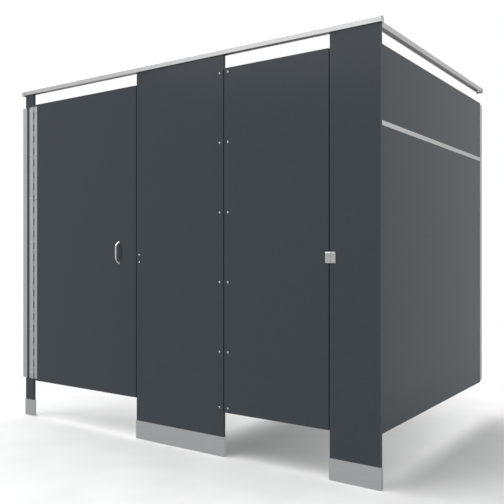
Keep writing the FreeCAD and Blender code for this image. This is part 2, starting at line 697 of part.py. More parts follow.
left_bracket = block(["Places.rail_bracket_depth", BRACKET_WIDTH, BRACKET_TALL],
                     ["Places.wall_x", f"Places.rail_front - {BRACKET_OUT}", BRACKET_Z])
left_pocket = block(["Places.rail_bracket_depth", BRACKET_POCKET, BRACKET_TALL],
                    [front_rail_x, "Places.rail_front - Sizes.rail_bracket_play", "Sizes.rail_bottom"])
left_bracket_holes = [through_bore("Sizes.wall_hole_radius",
                                   ["Places.wall_x", f"Places.mid_y {sign} Sizes.rail_hole_spacing / 2",
                                    BRACKET_HOLE_Z], "Sizes.rail_bracket_wall", "x") for sign in "+-"]
piece(without(left_bracket, [left_pocket] + left_bracket_holes), "front_rail_wall_bracket")

rear_bracket_y = "Places.wall_y - Places.rail_bracket_depth"
rear_bracket = block([BRACKET_WIDTH, "Places.rail_bracket_depth", BRACKET_TALL],
                     [f"{SIDE_RAIL_X} - {BRACKET_OUT}", rear_bracket_y, BRACKET_Z])
rear_pocket = block([BRACKET_POCKET, "Places.rail_bracket_depth", BRACKET_TALL],
                    [f"{SIDE_RAIL_X} - Sizes.rail_bracket_play",
                     f"{rear_bracket_y} - Sizes.rail_bracket_wall", "Sizes.rail_bottom"])
rear_bracket_holes = [through_bore("Sizes.wall_hole_radius",
                                   [f"Places.end_panel_x {sign} Sizes.rail_hole_spacing / 2",
                                    "Places.wall_y - Sizes.rail_bracket_wall", BRACKET_HOLE_Z],
                                   "Sizes.rail_bracket_wall", "y") for sign in "+-"]
piece(without(rear_bracket, [rear_pocket] + rear_bracket_holes), "side_rail_wall_bracket")


# Shoes and the levelling feet that they hide

SHOE_OUT = "(Sizes.shoe_play + Sizes.shoe_wall)"
BAR_Z = "Sizes.pilaster_lift - Sizes.levelling_bar"
feet, nuts, bars, foot_screws = [], [], [], []
for name, (x, width) in PILASTERS.items():
    sleeve = block([f"{width} + 2 * {SHOE_OUT}", f"Sizes.board + 2 * {SHOE_OUT}", "Sizes.shoe_height"],
                   [f"{x} - {SHOE_OUT}", f"Places.front_y - {SHOE_OUT}", "0"])
    hollow = block([f"{width} + 2 * Sizes.shoe_play", "Sizes.board + 2 * Sizes.shoe_play",
                    "Sizes.shoe_height + 2 * Sizes.overrun"],
                   [f"{x} - Sizes.shoe_play", "Places.front_y - Sizes.shoe_play", "-Sizes.overrun"])
    middle = f"{x} + {width} / 2"
    screw_hole = through_bore("Places.screw_hole", [middle, "Places.back_y", SHOE_SCREW_Z], SHOE_OUT, "y")
    piece(without(sleeve, [hollow, screw_hole]), f"{name}_shoe")
    foot_screws.append(screw([middle, f"Places.back_y + {SHOE_OUT}", SHOE_SCREW_Z],
                             f"{SHOE_OUT} + Sizes.screw_depth", "y", False))

    bar = block([f"{width} - 2 * Sizes.levelling_bar_inset", "Sizes.board", "Sizes.levelling_bar"],
                [f"{x} + Sizes.levelling_bar_inset", "Places.front_y", BAR_Z])
    bar_holes = [through_bore("Sizes.stud_radius + Sizes.stud_play", [foot, "Places.mid_y", BAR_Z],
                              "Sizes.levelling_bar", "z") for foot in FEET[name]]
    for screw_x in levelling_screws_at(name):
        at = [screw_x, "Places.mid_y", BAR_Z]
        bar_holes.append(through_bore("Places.screw_hole", at, "Sizes.levelling_bar", "z"))
        foot_screws.append(screw(at, "Sizes.levelling_bar + Sizes.screw_depth", "z", True))
    bars.append(without(bar, bar_holes))

    for foot in FEET[name]:
        plate = block(["Sizes.foot_length", "Sizes.foot_width", "Sizes.foot_thickness"],
                      [f"{foot} - Sizes.foot_length / 2", "Places.mid_y - Sizes.foot_width / 2", "0"])
        stud = rod("Sizes.stud_radius", "Sizes.stud_top", [foot, "Places.mid_y", "0"], "z")
        anchors = [through_bore("Sizes.anchor_hole_radius",
                                [f"{foot} {sign} Sizes.anchor_spacing / 2", "Places.mid_y", "0"],
                                "Sizes.foot_thickness", "z") for sign in "+-"]
        feet.append(without(joined([plate, stud]), anchors))
        nut = doc.addObject("Part::Prism", "Nut")
        nut.Polygon = 6
        nut.setExpression("Circumradius", "Sizes.nut_radius")
        nut.setExpression("Height", "Sizes.nut_height")
        nut_at = [foot, "Places.mid_y", f"{BAR_Z} - Sizes.nut_height"]
        thread = through_bore("Sizes.stud_radius + Sizes.pin_play", nut_at, "Sizes.nut_height", "z")
        nuts.append(without(place(nut, nut_at), [thread]))
piece(grouped(foot_screws), "foot_screws")
piece(grouped(feet), "levelling_feet")
piece(grouped(nuts), "levelling_nuts")
piece(grouped(bars), "levelling_bars")


# Piano hinges: two leaves with knuckles in turn on one pin

def make_hinge(name, axis_x, leaf_y, axis_y, frame_bolt_x, door_bolt_x, bolt_face_y):
    """Make a full-height hinge: two leaves, their pin and the door's bolts. Return the frame's bolts."""
    barrel_at = [axis_x, axis_y, "Places.edge_z"]
    clear = "(Sizes.barrel_radius + Sizes.knuckle_play)"
    frame_plate_x = f"{axis_x} - Sizes.leaf_width"
    bolts = {}
    for leaf, plate_x, first_notch, bolt_x in (("frame", frame_plate_x, 1, frame_bolt_x),
                                               ("door", axis_x, 0, door_bolt_x)):
        plate = block(["Sizes.leaf_width", "Sizes.leaf_thickness", "Places.edge_length"],
                      [plate_x, leaf_y, "Places.edge_z"])
        barrel = rod("Sizes.barrel_radius", "Places.edge_length", barrel_at, "z")
        tools = [through_bore("Sizes.pin_radius + Sizes.pin_play", barrel_at, "Places.edge_length", "z")]
        for knuckle in range(first_notch, int(value_of("Sizes.knuckle_count")), 2):
            low = f"Places.edge_z + {knuckle} * Places.knuckle - Sizes.knuckle_gap / 2"
            tools.append(block([f"2 * {clear}", f"2 * {clear}", "Places.knuckle + Sizes.knuckle_gap"],
                               [f"{axis_x} - {clear}", f"{axis_y} - {clear}", low]))
        tools += [through_bore("Places.bolt_hole", [bolt_x, leaf_y, z], "Sizes.leaf_thickness", "y")
                  for z in hinge_rows(name)]
        piece(without(joined([plate, barrel]), tools), f"{name}_hinge_{leaf}_leaf")
        bolts[leaf] = [through_bolt([bolt_x, bolt_face_y, z], "Sizes.board + Sizes.leaf_thickness", "y")
                       for z in hinge_rows(name)]
    piece(grouped(bolts["door"]), f"{name}_hinge_door_bolts")
    piece(rod("Sizes.pin_radius", "Places.edge_length", barrel_at, "z"), f"{name}_hinge_pin")
    return bolts["frame"]


hinge_frame_bolts = make_hinge("left", "Places.left_hinge_x", "Places.front_y - Sizes.leaf_thickness",
                               "Places.front_y - Sizes.barrel_radius", LEFT_HINGE_FRAME, LEFT_HINGE_DOOR,
                               "Places.front_y - Sizes.leaf_thickness")
hinge_frame_bolts += make_hinge("right", "Places.right_hinge_x", "Places.back_y",
                                "Places.back_y + Sizes.barrel_radius", RIGHT_HINGE_FRAME, RIGHT_HINGE_DOOR,
                                "Places.front_y")
piece(grouped(hinge_frame_bolts), "hinge_frame_bolts")


# Keepers on the inner faces of the pilasters, and the strike plate outside

def keeper_plate_and_loop(pilaster_x, height):
    """A keeper's plate and the loop that takes the latch bolt."""
    plate = block(["Sizes.keeper_width", "Sizes.keeper_plate", "Sizes.keeper_height"],
                  [f"{pilaster_x} + Sizes.keeper_edge", "Places.back_y",
                   f"{height} - Sizes.keeper_height / 2"])
    half = "(Sizes.latch_bolt_height / 2 + Sizes.loop_play)"
    loop_x = f"{pilaster_x} + Sizes.loop_edge"
    loop_y = "Places.back_y + Sizes.keeper_plate"
    inside = f"Places.latch_back + Sizes.loop_play - ({loop_y})"
    loop = block(["Sizes.loop_width", f"{inside} + Sizes.loop_wall", f"2 * ({half} + Sizes.loop_wall)"],
                 [loop_x, loop_y, f"{height} - {half} - Sizes.loop_wall"])
    passage = block(["Sizes.loop_width + 2 * Sizes.overrun", inside, f"2 * {half}"],
                    [f"{loop_x} - Sizes.overrun", loop_y, f"{height} - {half}"])
    return [plate, without(loop, [passage])]


def make_keeper(name, pilaster_x, height, lips, bolt_face_y):
    """Make a keeper, drilled through its plate. Return its bolts."""
    solids = keeper_plate_and_loop(pilaster_x, height) + lips
    bolt_x = f"{pilaster_x} + Sizes.keeper_bolt_inset"
    holes = [through_bore("Places.bolt_hole", [bolt_x, "Places.back_y", z], "Sizes.keeper_plate", "y")
             for z in keeper_bolt_rows(height)]
    piece(without(joined(solids), holes), f"{name}_keeper")
    grip = f"Places.back_y + Sizes.keeper_plate - ({bolt_face_y})"
    return [through_bolt([bolt_x, bolt_face_y, z], grip, "y") for z in keeper_bolt_rows(height)]


lips, buffers = [], []
lip_y = "Places.back_y + Sizes.keeper_plate"
lip_x = "Places.wide_door_edge - Sizes.stop_overlap"
lip_width = "Sizes.stop_overlap + Sizes.door_gap + Sizes.stop_lip_root"
lip_low = "Sizes.left_latch_height - Sizes.keeper_height / 2"
lip_high = "Sizes.left_latch_height + Sizes.keeper_height / 2 - Sizes.stop_lip_height"
for lip_z in (lip_low, lip_high):
    lips.append(block([lip_width, "Sizes.keeper_plate", "Sizes.stop_lip_height"], [lip_x, lip_y, lip_z]))
    buffers.append(block(["Sizes.stop_overlap - 2 * Sizes.buffer_inset",
                          "Sizes.keeper_plate - Sizes.buffer_play",
                          "Sizes.stop_lip_height - Sizes.buffer_inset"],
                         [f"{lip_x} + Sizes.buffer_inset", "Places.back_y + Sizes.buffer_play",
                          f"{lip_z} + Sizes.buffer_inset / 2"]))
piece(grouped(buffers), "left_keeper_buffers")
keeper_bolts = make_keeper("left", "Places.centre_pilaster_x", "Sizes.left_latch_height", lips,
                           "Places.front_y")
keeper_bolts += make_keeper("right", "Places.end_pilaster_x", "Sizes.right_latch_height", [],
                            "Places.front_y - Sizes.keeper_plate")
piece(grouped(keeper_bolts), "keeper_bolts")

strike_z = "Sizes.right_latch_height - Sizes.strike_height / 2"
strike_plate = block(["Sizes.strike_width", "Sizes.keeper_plate", "Sizes.strike_height"],
                     ["Places.end_pilaster_x", "Places.front_y - Sizes.keeper_plate", strike_z])
strike_face = "(Sizes.strike_buffer + Sizes.buffer_play)"
block_section = [("0", "Sizes.strike_bevel"), ("Sizes.strike_bevel", "0"), ("Sizes.strike_block", "0"),
                 ("Sizes.strike_block", "Sizes.strike_height"), ("Sizes.strike_bevel", "Sizes.strike_height"),
                 ("0", "Sizes.strike_height - Sizes.strike_bevel")]
strike_x = "Places.narrow_door_edge - Sizes.strike_overlap"
strike_block = extrusion([block_section], "YZ_Plane",
                         "Sizes.strike_overlap + Sizes.door_gap + Sizes.strike_root",
                         [strike_x, f"Places.front_y - {strike_face} - Sizes.strike_block", strike_z])
strike_bolt_x = "Places.end_pilaster_x + Sizes.keeper_bolt_inset"
strike_holes = [through_bore("Places.bolt_hole", [strike_bolt_x, "Places.front_y - Sizes.keeper_plate", z],
                             "Sizes.keeper_plate", "y") for z in keeper_bolt_rows("Sizes.right_latch_height")]
piece(without(joined([strike_plate, strike_block]), strike_holes), "right_strike_plate")
piece(block(["Sizes.strike_overlap - 2 * Sizes.buffer_inset", "Sizes.strike_buffer",
             "Sizes.strike_height - 2 * Sizes.strike_bevel"],
            [f"{strike_x} + Sizes.buffer_inset", f"Places.front_y - {strike_face}",
             f"{strike_z} + Sizes.strike_bevel"]), "right_strike_buffer")


# Slide latches on the inner faces of the doors

def make_latch(name, edge, height):
    """Make a latch case, and the bolt and knob that slide in it. Return the case's screws."""
    case_x = f"{edge} - Sizes.latch_case_setback - Sizes.latch_case_length"
    case_depth = "Places.latch_case_back - Places.back_y"
    case = block(["Sizes.latch_case_length", case_depth, "Sizes.latch_case_height"],
                 [case_x, "Places.back_y", f"{height} - Sizes.latch_case_height / 2"])
    bolt_x = f"{edge} - Sizes.latch_bolt_setback - Sizes.latch_bolt_length"
    bolt_z = f"{height} - Sizes.latch_bolt_height / 2"
    play = "Sizes.latch_bolt_play"
    passage = block(["Sizes.latch_bolt_length + Sizes.latch_throw",
                     f"Sizes.latch_bolt_thickness + 2 * {play}", f"Sizes.latch_bolt_height + 2 * {play}"],
                    [f"{bolt_x} - {play}", f"Places.latch_front - {play}", f"{bolt_z} - {play}"])
    knob_at = [f"{edge} - Sizes.knob_setback", "Places.latch_back", height]
    slot_radius = "(Sizes.knob_neck_radius + Sizes.latch_bolt_play)"
    slot_end = moved(knob_at, "x", "Sizes.latch_throw")
    slot_depth = "Places.latch_case_back - Places.latch_back"
    slot = [through_bore(slot_radius, end, slot_depth, "y") for end in (knob_at, slot_end)]
    slot.append(block(["Sizes.latch_throw", f"{slot_depth} + Sizes.overrun", f"2 * {slot_radius}"],
                      [knob_at[0], "Places.latch_back", f"{height} - {slot_radius}"]))
    screws_at = latch_screws_at(edge, height)
    holes = [through_bore("Places.screw_hole", [x, "Places.back_y", z], case_depth, "y")
             for x, z in screws_at]
    piece(without(case, [passage] + slot + holes), f"{name}_latch_case")
    piece(block(["Sizes.latch_bolt_length", "Sizes.latch_bolt_thickness", "Sizes.latch_bolt_height"],
                [bolt_x, "Places.latch_front", bolt_z]), f"{name}_latch_bolt")
    neck = rod("Sizes.knob_neck_radius", "Sizes.knob_neck_length", knob_at, "y")
    grip = taper("Sizes.knob_radius", "Sizes.knob_top_radius", "Sizes.knob_length",
                 moved(knob_at, "y", "Sizes.knob_neck_length"), "y")
    piece(joined([neck, grip]), f"{name}_latch_knob")
    return [screw([x, "Places.latch_case_back", z], f"{case_depth} + Sizes.screw_depth", "y", False)
            for x, z in screws_at]


wide_door_screws = make_latch("left", "Places.wide_door_edge", "Sizes.left_latch_height")
narrow_door_screws = make_latch("right", "Places.narrow_door_edge", "Sizes.right_latch_height")


# Coat hooks on the inner faces of the doors

def make_hook(name, door):
    """Make a coat hook bent from one strip, and its rubber buffer. Return its screws."""
    back, tip = "Sizes.hook_plate", "Sizes.hook_reach - Sizes.hook_arm"
    under, over = "Sizes.hook_arm_rise", "Sizes.hook_arm_rise + Sizes.hook_arm"
    tip_top = "Sizes.hook_arm_rise + Sizes.hook_tip"
    section = [("0", "0"), (back, "0"), (back, under), ("Sizes.hook_reach", under),
               ("Sizes.hook_reach", tip_top), (tip, tip_top), (tip, over), (back, over),
               (back, "Sizes.hook_plate_height"), ("0", "Sizes.hook_plate_height")]
    centre = HOOKS[door]
    hook = extrusion([section], "YZ_Plane", "Sizes.hook_width",
                     [f"{centre} - Sizes.hook_width / 2", "Places.back_y", "Sizes.hook_height"])
    screws_at = hook_screws_at(door)
    holes = [through_bore("Places.screw_hole", [x, "Places.back_y", z], "Sizes.hook_plate", "y")
             for x, z in screws_at]
    piece(without(hook, holes), f"{name}_coat_hook")
    piece(rod("Sizes.hook_buffer_radius", "Sizes.hook_buffer_length",
              [centre, "Places.back_y + Sizes.hook_reach",
               "Sizes.hook_height + Sizes.hook_arm_rise + Sizes.hook_tip / 2"], "y"), f"{name}_hook_buffer")
    return [screw([x, "Places.back_y + Sizes.hook_plate", z], "Sizes.hook_plate + Sizes.screw_depth",
                  "y", False) for x, z in screws_at]


wide_door_screws += make_hook("left", "wide_door")
narrow_door_screws += make_hook("right", "narrow_door")
piece(grouped(narrow_door_screws), "narrow_door_screws")


# Pull handle: a round bar bent to a bow, on a rose at each foot

def rounded_path(points, radius):
    """A wire through points, with each inner corner rounded by a tangent arc."""
    edges = []
    start = points[0]
    for before, corner, after in zip(points, points[1:], points[2:]):
        inward = (before - corner).normalize()
        outward = (after - corner).normalize()
        half_turn = inward.getAngle(outward) / 2
        reach = radius / math.tan(half_turn)
        middle_way = (inward + outward).normalize()
        arc_middle = corner + middle_way * (radius / math.sin(half_turn) - radius)
        arc_start, arc_end = corner + inward * reach, corner + outward * reach
        edges.append(Part.LineSegment(start, arc_start).toShape())
        edges.append(Part.Arc(arc_start, arc_middle, arc_end).toShape())
        start = arc_end
    edges.append(Part.LineSegment(start, points[-1]).toShape())
    return Part.Wire(edges)


def pull_bar():
    """The bent bar, swept along its bow and a little past the door's face at each foot."""
    x, face_y = value_of("Places.pull_x"), value_of("Places.front_y")
    bow_y = value_of("Places.front_y - Sizes.pull_projection")
    middle = value_of("Sizes.pull_height")
    foot, bend = value_of("Sizes.pull_feet / 2"), value_of("Sizes.pull_straight / 2")
    radius = value_of("Sizes.pull_bar_radius")
    bends = [FreeCAD.Vector(x, bow_y, middle + side * bend) for side in (-1, 1)]
    feet = [FreeCAD.Vector(x, face_y, middle + side * foot) for side in (-1, 1)]
    ends = [at + (at - corner).normalize() * 2 * radius for at, corner in zip(feet, bends)]
    path = rounded_path([ends[0], *bends, ends[1]], value_of("Sizes.pull_bend_radius"))
    circle = Part.Circle(ends[0], bends[0] - ends[0], radius)
    sweep = doc.addObject("Part::Feature", "PullBar")
    sweep.Shape = path.makePipeShell([Part.Wire(circle.toShape())], True, False)
    return sweep


roses = [rod("Sizes.pull_rose_radius", "Sizes.pull_rose_thickness",
             ["Places.pull_x", "Places.front_y - Sizes.pull_rose_thickness", z], "y") for z in PULL_FEET]
behind = block(["4 * Sizes.pull_rose_radius", "Sizes.board", "2 * Sizes.pull_feet"],
               ["Places.pull_x - 2 * Sizes.pull_rose_radius", "Places.front_y",
                "Sizes.pull_height - Sizes.pull_feet"])
threads = [rod("Places.screw_hole", "Sizes.pull_thread_depth + Sizes.overrun",
               ["Places.pull_x", "Places.front_y - Sizes.pull_thread_depth", z], "y") for z in PULL_FEET]
piece(without(joined([pull_bar()] + roses), [behind] + threads), "pull_handle")
pull_screw_depth = "Sizes.board + Sizes.pull_thread_depth - Sizes.fastener_play"
wide_door_screws += [screw(["Places.pull_x", "Places.back_y", z], pull_screw_depth, "y", False)
                     for z in PULL_FEET]
piece(grouped(wide_door_screws), "wide_door_screws")


# Recompute, test every object, and write one file for each sub-part

doc.recompute()
faults = [item.Label for item in doc.Objects if "Invalid" in item.State or "Error" in item.State]
faults += [item.Label for item in PIECES if item.Shape.isNull() or not item.Shape.isValid()]
if faults:
    raise RuntimeError(f"These objects failed: {faults}")

os.makedirs("parts", exist_ok=True)
for item in PIECES:
    item.Shape.exportStep(f"parts/{item.Label}.step")
    print(f"{item.Label}: {len(item.Shape.Solids)} solid(s), {item.Shape.Volume / 1000:.1f} cm3")
print(f"{len(PIECES)} sub-parts")
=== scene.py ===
"""Looks of a two-compartment toilet partition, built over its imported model.

Every length is in metres, in the model's own frame: X runs along the front away from the left wall,
Y into the compartments and Z up.
"""

import json
import logging
import math
from abc import ABC, abstractmethod
from dataclasses import dataclass, field
from enum import Enum
from typing import Iterable, Sequence

import bmesh
import bpy
from mathutils import Matrix, Vector

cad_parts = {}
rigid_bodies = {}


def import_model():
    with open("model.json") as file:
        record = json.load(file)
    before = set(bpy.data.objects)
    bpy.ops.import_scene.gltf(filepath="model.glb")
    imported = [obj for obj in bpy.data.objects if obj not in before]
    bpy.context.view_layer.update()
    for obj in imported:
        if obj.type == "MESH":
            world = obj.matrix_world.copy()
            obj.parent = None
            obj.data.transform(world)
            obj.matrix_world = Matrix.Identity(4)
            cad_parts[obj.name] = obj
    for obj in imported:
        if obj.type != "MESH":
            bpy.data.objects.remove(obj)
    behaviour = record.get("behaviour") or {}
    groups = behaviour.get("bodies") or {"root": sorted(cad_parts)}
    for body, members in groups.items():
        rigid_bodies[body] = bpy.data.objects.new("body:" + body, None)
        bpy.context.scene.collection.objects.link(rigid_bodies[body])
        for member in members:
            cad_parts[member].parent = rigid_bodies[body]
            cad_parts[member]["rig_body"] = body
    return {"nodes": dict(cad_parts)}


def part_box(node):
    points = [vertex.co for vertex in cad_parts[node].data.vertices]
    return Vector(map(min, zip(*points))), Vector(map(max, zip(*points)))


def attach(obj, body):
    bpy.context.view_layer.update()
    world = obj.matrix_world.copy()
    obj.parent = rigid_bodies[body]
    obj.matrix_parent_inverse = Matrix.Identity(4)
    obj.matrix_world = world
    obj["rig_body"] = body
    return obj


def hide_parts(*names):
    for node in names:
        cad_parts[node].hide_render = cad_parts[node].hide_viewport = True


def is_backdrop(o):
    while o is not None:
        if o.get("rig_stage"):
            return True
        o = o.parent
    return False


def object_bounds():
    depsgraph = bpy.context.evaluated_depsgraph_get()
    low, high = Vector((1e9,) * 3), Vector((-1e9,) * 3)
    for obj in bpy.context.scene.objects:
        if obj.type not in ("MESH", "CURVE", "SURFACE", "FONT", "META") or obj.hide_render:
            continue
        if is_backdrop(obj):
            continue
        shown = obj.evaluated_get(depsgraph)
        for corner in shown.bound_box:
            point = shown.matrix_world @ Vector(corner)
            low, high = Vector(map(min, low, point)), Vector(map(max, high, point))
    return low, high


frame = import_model()
CAD_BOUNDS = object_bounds()

log = logging.getLogger("partition")

Point = tuple[float, float]
Place = tuple[float, float, float]
Colour = tuple[float, float, float, float]
Socket = bpy.types.NodeSocket
Inputs = dict[str | int, Socket | float | Sequence[float]]
Piece = bpy.types.Object
Ring = list[bmesh.types.BMVert]

EDGE_LAYER = "edge"
# The values between which a pattern's dark and light places lie
DARK_END, LIGHT_END = 0.3, 0.7
# The largest share of a side that a rounded corner takes
CORNER_SHARE = 0.49
# Faces that meet at a larger angle keep a sharp edge
CREASE = math.radians(38.0)
# Points of one solid that lie closer than this are the same point
SAME_POINT = 1e-6


class Axis(Enum):
    """One of the model's three directions."""

    X = 0
    Y = 1
    Z = 2

    def others(self) -> tuple[int, int]:
        """The numbers of the two directions across this one."""
        return tuple(number for number in range(3) if number != self.value)


class End(Enum):
    """One end of a stretch along an axis."""

    LOW = -1
    HIGH = 1


class Side(Enum):
    """The compartment that a fitting belongs to."""

    LEFT = "left"
    RIGHT = "right"


class Leaf(Enum):
    """The part that a hinge's leaf is bolted to."""

    FRAME = "frame"
    DOOR = "door"


class Grain(Enum):
    """The way a metal's brush lines run, as a stretch of their pattern."""

    ALONG_X = (0.012, 1.0, 1.0)
    ALONG_Y = (1.0, 0.012, 1.0)
    ALONG_Z = (1.0, 1.0, 0.012)
    CAST = (1.0, 1.0, 1.0)


# Finishes

@dataclass(frozen=True)
class Pattern:
    """A pattern over a surface: clouds, or flat cells with a grey each, so many in a metre."""

    scale: float
    detail: float = 2.0
    grain: Grain = Grain.CAST
    cells: bool = False


class NodeGraph:
    """The nodes of a material or a world, with short calls that add and join them."""

    def __init__(self, owner: bpy.types.Material | bpy.types.World) -> None:
        """Start with the nodes that a new owner has.

        Args:
            owner: The material or the world.
        """
        owner.use_nodes = True
        self.tree = owner.node_tree
        self.patterns: dict[Pattern, Socket] = {}

    def fill(self, node: bpy.types.Node, inputs: Inputs) -> None:
        """Set a node's inputs.

        Args:
            node: The node.
            inputs: For each input, by name or number, its value or the socket to join.
        """
        for name, value in inputs.items():
            if isinstance(value, Socket):
                self.tree.links.new(value, node.inputs[name])
            else:
                node.inputs[name].default_value = value

    def add(self, kind: str, output: str, inputs: Inputs, **settings: str) -> Socket:
        """Add a node.

        Args:
            kind: Its kind, without the words that every kind starts with.
            output: The name of the output to use.
            inputs: For each input, by name or number, its value or the socket to join.
            settings: Its own settings.

        Returns:
            The output's socket.
        """
        node = self.tree.nodes.new(f"ShaderNode{kind}")
        for name, value in settings.items():
            setattr(node, name, value)
        self.fill(node, inputs)
        return node.outputs[output]

    def pattern(self, pattern: Pattern) -> Socket:
        """Add a pattern on its first use.

        Args:
            pattern: The pattern.

        Returns:
            The socket that gives it, from 0 to 1.
        """
        if pattern not in self.patterns:
            source = self.add("TexCoord", "Object", {})
            place = self.add("Mapping", "Vector", {"Vector": source, "Scale": pattern.grain.value})
            inputs = {"Vector": place, "Scale": pattern.scale}
            if pattern.cells:
                made = self.add("TexVoronoi", "Color", inputs)
            else:
                made = self.add("TexNoise", "Fac", inputs | {"Detail": pattern.detail})
            self.patterns[pattern] = made
        return self.patterns[pattern]

    def ramp(self, pattern: Socket, stops: Sequence[tuple[float, Colour]]) -> Socket:
        """Colour a pattern.

        Args:
            pattern: The socket to colour.
            stops: Two or more positions from 0 to 1 in order, each with its colour.

        Returns:
            The colour socket.
        """
        made = self.add("ValToRGB", "Color", {"Fac": pattern})
        elements = made.node.color_ramp.elements
        for _ in stops[2:]:
            elements.new(0.5)
        for element, (position, colour) in zip(elements, stops):
            element.position = position
            element.color = colour
        return made


@dataclass(frozen=True)
class Finish:
    """A surface finish: shades that follow a figure, gloss that follows a second pattern, and a relief.

    The relief follows a third pattern or, without one, the figure.
    """

    name: str
    shades: tuple[Colour, ...]
    figure: Pattern
    gloss: Pattern
    smooth: float
    rough: float
    relief: Pattern | None = None
    depth: float = 0.0
    strength: float = 0.0
    wear: float = 0.0
    metallic: float = 0.0

    def material(self) -> bpy.types.Material:
        """Make this finish's material on its first use.

        Returns:
            The material.
        """
        if self.name not in bpy.data.materials:
            graph = NodeGraph(bpy.data.materials.new(self.name))
            graph.fill(graph.tree.nodes["Principled BSDF"], self.inputs(graph))
        return bpy.data.materials[self.name]

    def inputs(self, graph: NodeGraph) -> Inputs:
        """Make what feeds the shader. The figure is lifted where an edge is eased, which shows as wear.

        Args:
            graph: The material's nodes.

        Returns:
            The value or the socket for each of the shader's inputs.
        """
        figure = graph.pattern(self.figure)
        if self.wear:
            edge = graph.add("Attribute", "Fac", {}, attribute_name=EDGE_LAYER)
            lifted = {0: edge, 1: self.wear, 2: figure}
            figure = graph.add("Math", "Value", lifted, operation="MULTIPLY_ADD")
        step = (LIGHT_END - DARK_END) / (len(self.shades) - 1)
        stops = [(DARK_END + step * number, shade) for number, shade in enumerate(self.shades)]
        gloss = {"Value": graph.pattern(self.gloss), "From Min": DARK_END, "From Max": LIGHT_END,
                 "To Min": self.smooth, "To Max": self.rough}
        inputs = {"Base Color": graph.ramp(figure, stops), "Metallic": self.metallic,
                  "Roughness": graph.add("MapRange", "Result", gloss)}
        if self.strength:
            bump = {"Height": graph.pattern(self.relief or self.figure), "Distance": self.depth,
                    "Strength": self.strength}
            inputs["Normal"] = graph.add("Bump", "Normal", bump)
        return inputs


@dataclass(frozen=True)
class Metal(Finish):
    """A metal finish, unless told otherwise with faint stains, a fine relief and bright edges."""

    gloss: Pattern = Pattern(14.0, 3.0)
    smooth: float = 0.30
    rough: float = 0.44
    depth: float = 0.00003
    strength: float = 0.25
    wear: float = 0.15
    metallic: float = 1.0


# Solid plastic board: charcoal with fine flecks, a faint pebble and rubbed edges
BOARD_DARK: Colour = (0.046, 0.060, 0.073, 1.0)
BOARD_LIGHT: Colour = (0.054, 0.069, 0.083, 1.0)
BOARD_RUBBED: Colour = (0.076, 0.092, 0.106, 1.0)
BOARD = Finish("charcoal_board", (BOARD_DARK, BOARD_LIGHT, BOARD_LIGHT, BOARD_RUBBED), Pattern(420.0),
               gloss=Pattern(7.0, 4.0), smooth=0.13, rough=0.19, relief=Pattern(700.0, 3.0), depth=0.00004,
               strength=0.2, wear=0.12)
# Black moulded rubber with a dusty bloom
BLOOM = Pattern(180.0, 4.0)
RUBBER = Finish("black_rubber", ((0.014, 0.014, 0.014, 1.0), (0.034, 0.033, 0.032, 1.0)), BLOOM,
                gloss=BLOOM, smooth=0.62, rough=0.84, relief=Pattern(1800.0), depth=0.00008, strength=0.3)
# Plain pale floor with a faint mottle
MOTTLE = Pattern(3.0, 3.0)
FLOOR = Finish("pale_floor", ((0.86, 0.86, 0.86, 1.0), (0.92, 0.92, 0.92, 1.0)), MOTTLE,
               gloss=MOTTLE, smooth=0.6, rough=0.8)
# Zinc plating with its faint crystals
PLATED = Metal("plated_steel_skin", ((0.42, 0.43, 0.40, 1.0), (0.58, 0.59, 0.56, 1.0)),
               Pattern(260.0, cells=True), gloss=Pattern(60.0), smooth=0.34, rough=0.50,
               relief=Pattern(500.0), depth=0.00005, strength=0.2, wear=0.0)
# Satin sheet steel
SHEET: tuple[Colour, ...] = ((0.77, 0.78, 0.79, 1.0), (0.86, 0.87, 0.88, 1.0))
STEEL_UP = Metal("satin_steel_up", SHEET, Pattern(900.0, 4.0, Grain.ALONG_Z))
STEEL_ACROSS = Metal("satin_steel_across", SHEET, Pattern(900.0, 4.0, Grain.ALONG_X))
# Anodised rails
RAIL: tuple[Colour, ...] = ((0.87, 0.87, 0.88, 1.0), (0.94, 0.94, 0.95, 1.0))
RAIL_X = Metal("anodised_rail_x", RAIL, Pattern(700.0, 4.0, Grain.ALONG_X), rough=0.38)
RAIL_Y = Metal("anodised_rail_y", RAIL, Pattern(700.0, 4.0, Grain.ALONG_Y), rough=0.38)
# Cast fittings, the bright pull and the fasteners
CAST_SKIN = Pattern(520.0, 4.0)
FITTING = Metal("satin_fitting", ((0.74, 0.75, 0.76, 1.0), (0.82, 0.83, 0.84, 1.0)), CAST_SKIN,
                smooth=0.22, rough=0.32)
PULL = Metal("bright_pull", ((0.85, 0.86, 0.87, 1.0), (0.93, 0.94, 0.95, 1.0)), CAST_SKIN,
             smooth=0.22, rough=0.32)
FASTENER = Metal("bolt_steel", ((0.70, 0.71, 0.72, 1.0), (0.80, 0.81, 0.82, 1.0)), Pattern(900.0, 4.0),
                 smooth=0.20, rough=0.32)


# Measures and outlines

@dataclass(frozen=True)
class Solid:
    """The place of one bolt, screw or pad in a node that holds several."""

    low: Vector
    high: Vector
    along: Axis
    head: End

    @classmethod
    def around(cls, points: Sequence[Vector]) -> "Solid":
        """Measure a solid.

        Args:
            points: Its mesh's points.

        Returns:
            The solid, with its long axis and the wider end of it.
        """
        low = Vector(min(point[number] for point in points) for number in range(3))
        high = Vector(max(point[number] for point in points) for number in range(3))
        sides, middle = high - low, (low + high) / 2
        along = Axis(max(range(3), key=lambda number: sides[number]))
        across = along.others()[0]
        widest = max(points, key=lambda point: abs(point[across] - middle[across]))
        return cls(low, high, along, End.HIGH if widest[along.value] > middle[along.value] else End.LOW)


